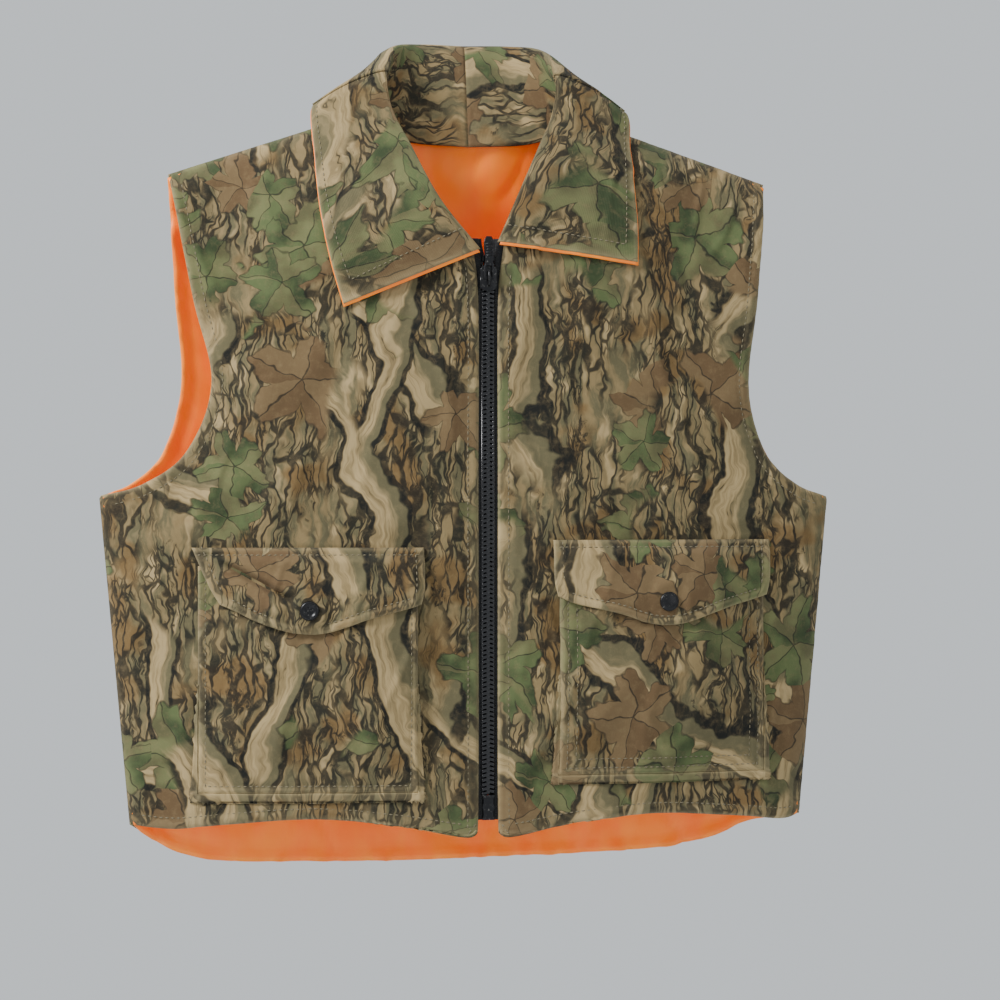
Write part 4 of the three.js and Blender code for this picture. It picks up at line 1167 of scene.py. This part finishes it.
def make_pocket(side):
    sign = SIDES[side]
    x0, x1 = POCKET_X[side] - POCKET_HALF, POCKET_X[side] + POCKET_HALF
    low, mouth = POCKET_LOW[side], MOUTH_Z[side]
    round_off = 5 * MM
    bottom = Line(spline([
        (x0 + 1 * MM, low + 1 * MM), (x0 + round_off, low),
        (x1 - round_off, low), (x1 - 1 * MM, low + 1 * MM),
    ]))
    sides = [
        Line(spline([(x - s * MM, low + 1 * MM), (x, low + round_off), (x, mouth)]))
        for x, s in ((x0, -1), (x1, 1))
    ]
    lines = (bottom, Line([(x0, mouth), (x1, mouth)]), *sides)

    def bag(u, v):
        # More rows and columns where the bag turns down to its seams
        def crowd(share):
            return np.clip(share - 0.65 * np.sin(2 * np.pi * share) / (2 * np.pi), 0, 1)
        flat = patch(*lines, crowd(u), v ** 1.25)
        x, z = flat[:, 0], flat[:, 1]
        edge = np.min([distance(flat, line) for line in (bottom, *sides)], axis=0)
        hem = mouth - z
        groove = 0.5 * MM * np.exp(-((edge - 4 * MM) / (0.9 * MM)) ** 2)
        groove = groove + 0.5 * MM * np.exp(-((edge - 9 * MM) / (0.9 * MM)) ** 2) * (side == "right")
        groove = groove + 0.5 * MM * np.exp(-((hem - 12 * MM) / (0.9 * MM)) ** 2)
        pucker = noise(x / (5 * MM), z / (5 * MM), 63) * np.exp(-edge / (7 * MM)) * 0.4 * MM
        under_snap = np.hypot(x - POCKET_X[side], (z - SNAP_Z[side]) * 0.7)
        angle = np.arctan2(z - SNAP_Z[side], x - POCKET_X[side])
        gather = 0.5 * MM * np.sin(angle * 11) * np.exp(-((under_snap - 13 * MM) / (8 * MM)) ** 2)
        height = bag_height(side, x, z) - groove + (pucker + gather) * smooth(edge, 0, 3 * MM)
        place = on_front(flat)
        place[:, 1] -= height
        worn = np.exp(-edge / (1.1 * MM)) + 0.25 * np.exp(-((edge - 3 * MM) / (1 * MM)) ** 2)
        return place, flat + np.array([0.37 * sign, 0.11]), worn
    made = cloth(f"camo_bag_{side}", (96, 90), bag, camo, "camo_cotton", 1 * MM, (0, -1, 0))
    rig.replaces(made, f"pocket_bag_{side}")
    fold(made, side)
    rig.sheet(
        made, flat=(2 * POCKET_HALF + 20 * MM, mouth - low + 10 * MM), held="hung",
        rests_on=[f"camo_front_{side}"],
    )
    insets = (4 * MM, 9 * MM) if side == "right" else (4 * MM,)
    paths = []
    for inset in insets:
        for line in (bottom, *sides):
            moved = Line(offset_line(line, inset, (POCKET_X[side], (low + mouth) / 2)))
            moved = moved.at(np.linspace(0.03, 0.97, 90))
            moved = moved[(moved[:, 0] > x0 + inset * 0.9) & (moved[:, 0] < x1 - inset * 0.9)]
            path = on_front(moved)
            path[:, 1] -= bag_height(side, moved[:, 0], moved[:, 1]) - 0.35 * MM
            paths.append(path)
    fold(stitches(f"pocket_stitching_{side}", paths, olive_thread, "camo_cotton"), side)
    make_flap(side)
    make_snap(side)


def make_flap(side):
    lines = flap_lines(side)
    bottom, top, left, right = lines

    def flap(u, v):
        flat = patch(*lines, u, v)
        x, z = flat[:, 0], flat[:, 1]
        edge = np.min([distance(flat, line) for line in (bottom, left, right)], axis=0)
        seam = distance(flat, top)
        roll = 1.1 * MM * (1 - np.clip(edge / (2.2 * MM), 0, 1)) ** 2
        groove = np.exp(-((edge - 5 * MM) / (1 * MM)) ** 2) + np.exp(-((seam - 4 * MM) / (1 * MM)) ** 2)
        groove = 0.5 * MM * groove
        pucker = noise(x / (5 * MM), z / (5 * MM), 71) * np.exp(-edge / (8 * MM)) * 0.45 * MM
        soft = 0.6 * folds(x, z, 12, 0.016, 0.05, 72) * MM
        place = on_front(flat)
        place[:, 1] -= flap_height(side, x, z) - roll - groove + (pucker + soft) * smooth(seam, 0, 9 * MM)
        to_snap = np.hypot(x - POCKET_X[side], z - SNAP_Z[side])
        place[:, 1] += smooth(13 * MM - to_snap, 0, 6 * MM) * (front_cad(x, z) - FLAP_OUT - place[:, 1])
        worn = np.exp(-edge / (1 * MM)) * 1.2 + 0.3 * np.exp(-((edge - 3.4 * MM) / (1 * MM)) ** 2)
        worn = worn + 0.35 * np.exp(-((seam - 1 * MM) / (0.9 * MM)) ** 2)
        return place, flat + np.array([0.9 + 0.21 * SIDES[side], 0.52]), worn
    made = cloth(f"flap_{side}", (96, 44), flap, camo, "camo_cotton", FLAP_THICK, (0, -1, 0))
    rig.replaces(made, f"flap_shell_{side}", f"flap_lining_{side}")
    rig.ride(made, f"flap_{side}")
    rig.sheet(
        made, flat=(2 * FLAP_HALF, FLAP_TOP[side] - FLAP_LOW[side] + 8 * MM), held="hung",
        rests_on=[f"camo_bag_{side}"],
    )
    middle = (POCKET_X[side], FLAP_TOP[side] - 22 * MM)
    paths = []
    rows = ((bottom, 5, 0.04, 0.96), (left, 5, 0.16, 0.98), (right, 5, 0.16, 0.98), (top, 4, 0.02, 0.98))
    for line, inset, low, high in rows:
        moved = Line(offset_line(line, inset * MM, middle)).at(np.linspace(low, high, 80))
        path = on_front(moved)
        path[:, 1] -= flap_height(side, moved[:, 0], moved[:, 1]) - 0.35 * MM
        paths.append(path)
    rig.ride(stitches(f"flap_stitching_{side}", paths, olive_thread, "camo_cotton"), f"flap_{side}")


def turned(profile, steps=40):
    """A turned bmesh from (radius, outward) pairs, outward along -Y."""
    bm = bmesh.new()
    verts = [bm.verts.new((radius, -out, 0)) for radius, out in profile]
    edges = [bm.edges.new(pair) for pair in zip(verts, verts[1:])]
    bmesh.ops.spin(
        bm, geom=verts + edges, cent=(0, 0, 0), axis=(0, 1, 0), angle=2 * math.pi,
        steps=steps, use_merge=True,
    )
    bmesh.ops.remove_doubles(bm, verts=bm.verts, dist=1e-6)
    bmesh.ops.recalc_face_normals(bm, faces=bm.faces)
    return bm


def make_snap(side):
    low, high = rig.box(f"snap_cap_{side}")
    centre = (low + high) / 2
    x, z = centre.x, centre.z
    step = 1 * MM
    slope = math.atan(float(front_cad(x + step, z) - front_cad(x - step, z)) / (2 * step))
    face = FLAP_OUT + 0.1 * MM
    radius = 5.4 * MM
    if side == "left":
        top = [
            (1, 0.35), (0.97, 0.95), (0.88, 1.6), (0.74, 1.85), (0.62, 1.6),
            (0.52, 1.0), (0.3, 0.85), (0.12, 1.1), (0, 1.15),
        ]
    else:
        top = [
            (1, 0.35), (0.98, 0.8), (0.9, 1.15), (0.82, 1.2),
            (0.76, 1.5), (0.6, 1.85), (0.35, 2.1), (0, 2.2),
        ]
    profile = [(0, -0.4), (0.97, -0.4), (1, -0.1), *top]
    bm = turned([(share * radius, out * MM) for share, out in profile])
    y = front_cad(x, z) - face
    turn = Matrix.Rotation(slope, 4, "Z")
    bmesh.ops.transform(bm, matrix=Matrix.Translation((x, float(y), z)) @ turn, verts=bm.verts)
    made = solid(f"snap_button_{side}", bm, black_metal, "black_metal")
    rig.replaces(made, f"snap_cap_{side}")
    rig.ride(made, f"flap_{side}")
    for node in ("snap_socket", "snap_stud", "snap_post"):
        part = frame["nodes"][f"{node}_{side}"]
        part.data.materials.clear()
        part.data.materials.append(black_metal)


def front_cad(x, z):
    return -(SEAM_HALF + FRONT_DEPTH * bulge(np.float64(x), np.float64(z)))


# --- zip ----------------------------------------------------------------------------------------

def bevel(bm, edges, width, segments=2, clamp=False):
    bmesh.ops.bevel(
        bm, geom=edges, offset=width, offset_type="OFFSET", segments=segments, profile=0.5,
        affect="EDGES", material=-1, clamp_overlap=clamp,
    )


def bevel_all(bm, width):
    bevel(bm, list(bm.edges), width, clamp=True)


def box(bm, low, high, lean=0.0):
    """Adds a block between two corners, leant about its middle."""
    low, high = Vector(low), Vector(high)
    size = Matrix.Diagonal((*(high - low), 1))
    place = Matrix.Translation((low + high) / 2) @ Matrix.Rotation(lean, 4, "Y") @ size
    return bmesh.ops.create_cube(bm, size=1, matrix=place)["verts"]


def make_chain(side):
    """Moulded teeth, each reaching a little past the zip's centre, on a corded edge."""
    sign = SIDES[side]
    pitch, height, lean = 2.5 * MM, 1.75 * MM, math.radians(14)
    reach, root, thick = 1.0 * MM, 3.5 * MM, 2.5 * MM
    bm = bmesh.new()
    count = int((CHAIN_TOP - CHAIN_BOTTOM) / pitch)
    for i in range(count):
        z = CHAIN_BOTTOM + (i + (0.25 if sign < 0 else 0.75)) * pitch
        xs = sorted((ZIP_X - sign * reach, ZIP_X + sign * root))
        low = (xs[0], CHAIN_Y - thick / 2, z - height / 2)
        high = (xs[1], CHAIN_Y + thick / 2, z + height / 2)
        box(bm, low, high, lean * sign)
    bevel_all(bm, 0.42 * MM)
    cord = Matrix.Translation((ZIP_X + sign * 3.1 * MM, CHAIN_Y, (CHAIN_TOP + CHAIN_BOTTOM) / 2))
    bmesh.ops.create_cone(
        bm, cap_ends=True, segments=12, radius1=0.9 * MM, radius2=0.9 * MM, depth=CHAIN_TOP - CHAIN_BOTTOM,
        matrix=cord,
    )
    made = solid(f"zip_teeth_{side}", bm, zip_plastic, "zip_chain")
    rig.replaces(made, f"zip_chain_{side}")
    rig.ride(made, f"front_{side}")


def make_tape(side):
    sign = SIDES[side]
    inner, outer = ZIP_X + sign * 0.35 * MM, ZIP_X + sign * 13 * MM
    top, low = V_Z + 3 * MM, HEM_Z + 2 * MM

    def tape(u, v):
        x = inner + (outer - inner) * u
        z = low + (top - low) * v
        x = x + sign * smooth(z, CHAIN_TOP - 4 * MM, top) * 3 * MM * (1 - u)
        y = np.maximum(front_y(x, z) + 2 * MM, (CHAIN_Y + 1.6 * MM) * (u < 0.25) - 1 * (u >= 0.25))
        rib = 0.12 * MM * np.sin(z * 2 * math.pi / (1.6 * MM)) * smooth(u, 0.1, 0.2)
        return np.stack([x, y - rib, z], 1), np.stack([x, z], 1), np.zeros(len(u))
    made = cloth(f"woven_tape_{side}", (12, 760), tape, zip_tape, "zip_tape", 0.5 * MM, (0, -1, 0))
    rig.replaces(made, f"zip_tape_{side}")
    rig.ride(made, f"front_{side}")
    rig.sheet(made, flat=(12.7 * MM, top - low), held="hung", rests_on=[f"camo_front_{side}"])


def make_small_metal():
    """Top stops, box and pin: the frame's shapes with rounded edges."""
    for node, body in (
        ("top_stop_left", "front_left"), ("top_stop_right", "front_right"), ("zip_box", "front_left"),
        ("zip_pin", "front_right"),
    ):
        low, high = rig.box(node)
        bm = bmesh.new()
        box(bm, low, high)
        if node == "zip_box":
            upright = [e for e in bm.edges if abs((e.verts[0].co - e.verts[1].co).z) > 1 * MM]
            bmesh.ops.subdivide_edges(bm, edges=upright, cuts=5)
            for vert in bm.verts:
                wide = 0.86 + 0.14 * math.cos((vert.co.z - low.z) / (high.z - low.z) * 4 * math.pi)
                vert.co.x = ZIP_X + (vert.co.x - ZIP_X) * wide
        bevel_all(bm, 0.35 * MM if node != "zip_box" else 0.15 * MM)
        made = solid(f"{node}_rounded", bm, black_metal, "black_metal")
        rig.replaces(made, node)
        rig.ride(made, body)


def rod(bm, points, radius, sides=10):
    """A bent rod through points."""
    loops = []
    for i, point in enumerate(points):
        before, after = points[max(i - 1, 0)], points[min(i + 1, len(points) - 1)]
        along = (Vector(after) - Vector(before)).to_track_quat("Z", "Y").to_matrix().to_4x4()
        ring = bmesh.ops.create_circle(
            bm, cap_ends=i in (0, len(points) - 1), segments=sides, radius=radius,
            matrix=Matrix.Translation(point) @ along,
        )["verts"]
        loops.append([e for e in {e for v in ring for e in v.link_edges} if all(v in ring for v in e.verts)])
    for first, second in zip(loops, loops[1:]):
        bmesh.ops.bridge_loops(bm, edges=first + second)


def round_corners(bm, thick):
    """Rounds the corners of a slider's plate that far through."""
    upright = [e for e in bm.edges if abs(e.verts[0].co.y - e.verts[1].co.y) > thick / 2]
    bevel(bm, upright, 3.2 * MM, 6)


def slider_rims(bm, low, high, near, far):
    """The two rims that close round the chain, from near to far along Y."""
    for sign in (-1, 1):
        x = ZIP_X + sign * (high.x - ZIP_X - 0.5 * MM)
        box(bm, (x - 0.45 * MM, near, low.z + 1 * MM), (x + 0.45 * MM, far, high.z - 4.5 * MM))


def make_slider():
    low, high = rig.box("slider_body")
    plate_y = high.y
    thick, face = 1.5 * MM, low.y + 3.2 * MM
    bm = bmesh.new()
    mid_z = (low.z + high.z) / 2
    box(bm, (low.x, face, low.z), (high.x, face + thick, high.z))
    round_corners(bm, thick)
    for vert in bm.verts:
        waist = 1 - 0.16 * math.exp(-((vert.co.z - low.z - 4 * MM) / (2.5 * MM)) ** 2)
        vert.co.x = ZIP_X + (vert.co.x - ZIP_X) * waist
    bevel_all(bm, 0.3 * MM)
    slider_rims(bm, low, high, face + thick * 0.5, plate_y)
    arch = [
        (ZIP_X, face + 0.3 * MM - 3.0 * MM * math.sin(a) ** 0.7, mid_z - 4.1 * MM * math.cos(a))
        for a in np.linspace(0, math.pi, 15)
    ]
    rod(bm, arch, 0.85 * MM, 12)
    made = solid("slider_front", bm, black_metal, "black_metal")
    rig.replaces(made, "slider_body")
    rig.ride(made, "slider")

    low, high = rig.box("slider_plate")
    bm = bmesh.new()
    box(bm, (low.x, high.y - thick, low.z), high)
    round_corners(bm, thick)
    bevel_all(bm, 0.3 * MM)
    slider_rims(bm, low, high, low.y, high.y - thick * 0.5)
    made = solid("slider_back", bm, black_metal, "black_metal")
    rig.replaces(made, "slider_plate")
    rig.ride(made, "slider")


def make_pull_tab():
    """A stamped tab with a window for the bail and a dished, ribbed grip."""
    low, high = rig.box("pull_tab")
    joint = JOINTS["pull_tab_turn"]
    at = Vector(joint["pos_m"])
    length, half, bar, window, thick = high.z - at.z, (high.x - low.x) / 2, 0.7 * MM, 6 * MM, 1.2 * MM
    columns = [-half, -1.6 * MM, 1.6 * MM, half]
    rows = [-bar, bar, bar + window, 9.2 * MM, 10.6 * MM, 13 * MM, 16 * MM, 19 * MM, length - 2 * MM, length]
    pinch = [1, 1, 0.92, 0.72, 0.72, 0.88, 1, 1, 0.9, 0.5]
    bm = bmesh.new()
    grid = [[bm.verts.new((x * wide, 0, z)) for x in columns] for z, wide in zip(rows, pinch)]
    for i in range(len(rows) - 1):
        for j in range(3):
            if (i, j) != (1, 1):
                bm.faces.new((grid[i][j], grid[i][j + 1], grid[i + 1][j + 1], grid[i + 1][j]))
    pushed = bmesh.ops.extrude_face_region(bm, geom=list(bm.faces))
    moved = [v for v in pushed["geom"] if isinstance(v, bmesh.types.BMVert)]
    bmesh.ops.translate(bm, vec=(0, thick, 0), verts=moved)
    bmesh.ops.recalc_face_normals(bm, faces=bm.faces)
    bmesh.ops.translate(bm, vec=(0, -thick / 2, 0), verts=bm.verts)
    sharp = [e for e in bm.edges if len(e.link_faces) == 2 and e.calc_face_angle(0) > 0.7]
    bevel(bm, sharp, 0.25 * MM)
    for i in range(5):
        z = length - (4.2 + 1.6 * i) * MM
        box(bm, (-half * 0.62, -thick / 2 - 0.25 * MM, z - 0.3 * MM), (half * 0.62, thick / 2, z + 0.3 * MM))
    lean = Matrix.Translation(at) @ Matrix.Rotation(-math.radians(3), 4, "X")
    bmesh.ops.transform(bm, matrix=lean, verts=bm.verts)
    made = solid("slider_tab", bm, black_metal, "black_metal")
    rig.replaces(made, "pull_tab")
    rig.ride(made, "pull_tab")


# --- stage --------------------------------------------------------------------------------------

FLOOR_RADIUS = 1.1
FLOOR_Z = -0.8
SKY_STRENGTH = 1.15


def make_stage():
    bm = bmesh.new()
    bmesh.ops.create_circle(bm, cap_ends=True, segments=96, radius=FLOOR_RADIUS)
    mesh = bpy.data.meshes.new("floor")
    bm.to_mesh(mesh)
    bm.free()
    mesh.transform(Matrix.Translation((0, 0, FLOOR_Z)))
    floor = bpy.data.objects.new("floor", mesh)
    bpy.context.scene.collection.objects.link(floor)
    plain = Finish("floor_pale", Roughness=0.9)
    plain.shader.inputs["Base Color"].default_value = (*linear(214, 217, 219), 1)
    mesh.materials.append(plain.material)
    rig.stage(floor)

    world = bpy.data.worlds.new("studio")
    world.use_nodes = True
    world.node_tree.nodes["Background"].inputs["Color"].default_value = (*linear(205, 210, 214), 1)
    world.node_tree.nodes["Background"].inputs["Strength"].default_value = SKY_STRENGTH
    bpy.context.scene.world = world


LIT = Vector((0, 0, -0.2))


def light(name, place, size, power):
    data = bpy.data.lights.new(name, "AREA")
    data.size = size
    data.energy = power
    lamp = bpy.data.objects.new(name, data)
    lamp.location = place
    lamp.rotation_euler = (LIT - Vector(place)).to_track_quat("-Z", "Y").to_euler()
    bpy.context.scene.collection.objects.link(lamp)


AIM = Vector((16.8 * MM, 0, -207 * MM))
AWAY = 1.6
AZIMUTH = math.radians(-9)
VIEW_WIDTH = 0.56


def make_camera():
    data = bpy.data.cameras.new("camera")
    data.sensor_width = 36
    data.lens = data.sensor_width * AWAY / VIEW_WIDTH
    camera = bpy.data.objects.new("camera", data)
    back = Vector((math.sin(AZIMUTH), -math.cos(AZIMUTH), 0.0))
    camera.location = AIM + back * AWAY
    camera.rotation_euler = (-back).to_track_quat("-Z", "Y").to_euler()
    bpy.context.scene.collection.objects.link(camera)
    bpy.context.scene.camera = camera


make_back()
for side in SIDES:
    make_front(side)
    make_collar(side)
    make_pocket(side)
    make_tape(side)
    make_chain(side)
make_small_metal()
make_slider()
make_pull_tab()
make_stage()
light("key", (-1.5, -0.75, 0.9), 0.55, 62)
light("fill", (1.3, -1.2, 0.1), 1.4, 5)
light("top", (0.1, 0.3, 1.2), 1.0, 8)
make_camera()

with open("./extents.json", "w") as file:
    json.dump({"cad": [list(v) for v in cad_box], "visual": [list(v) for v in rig.bounds()]}, file)
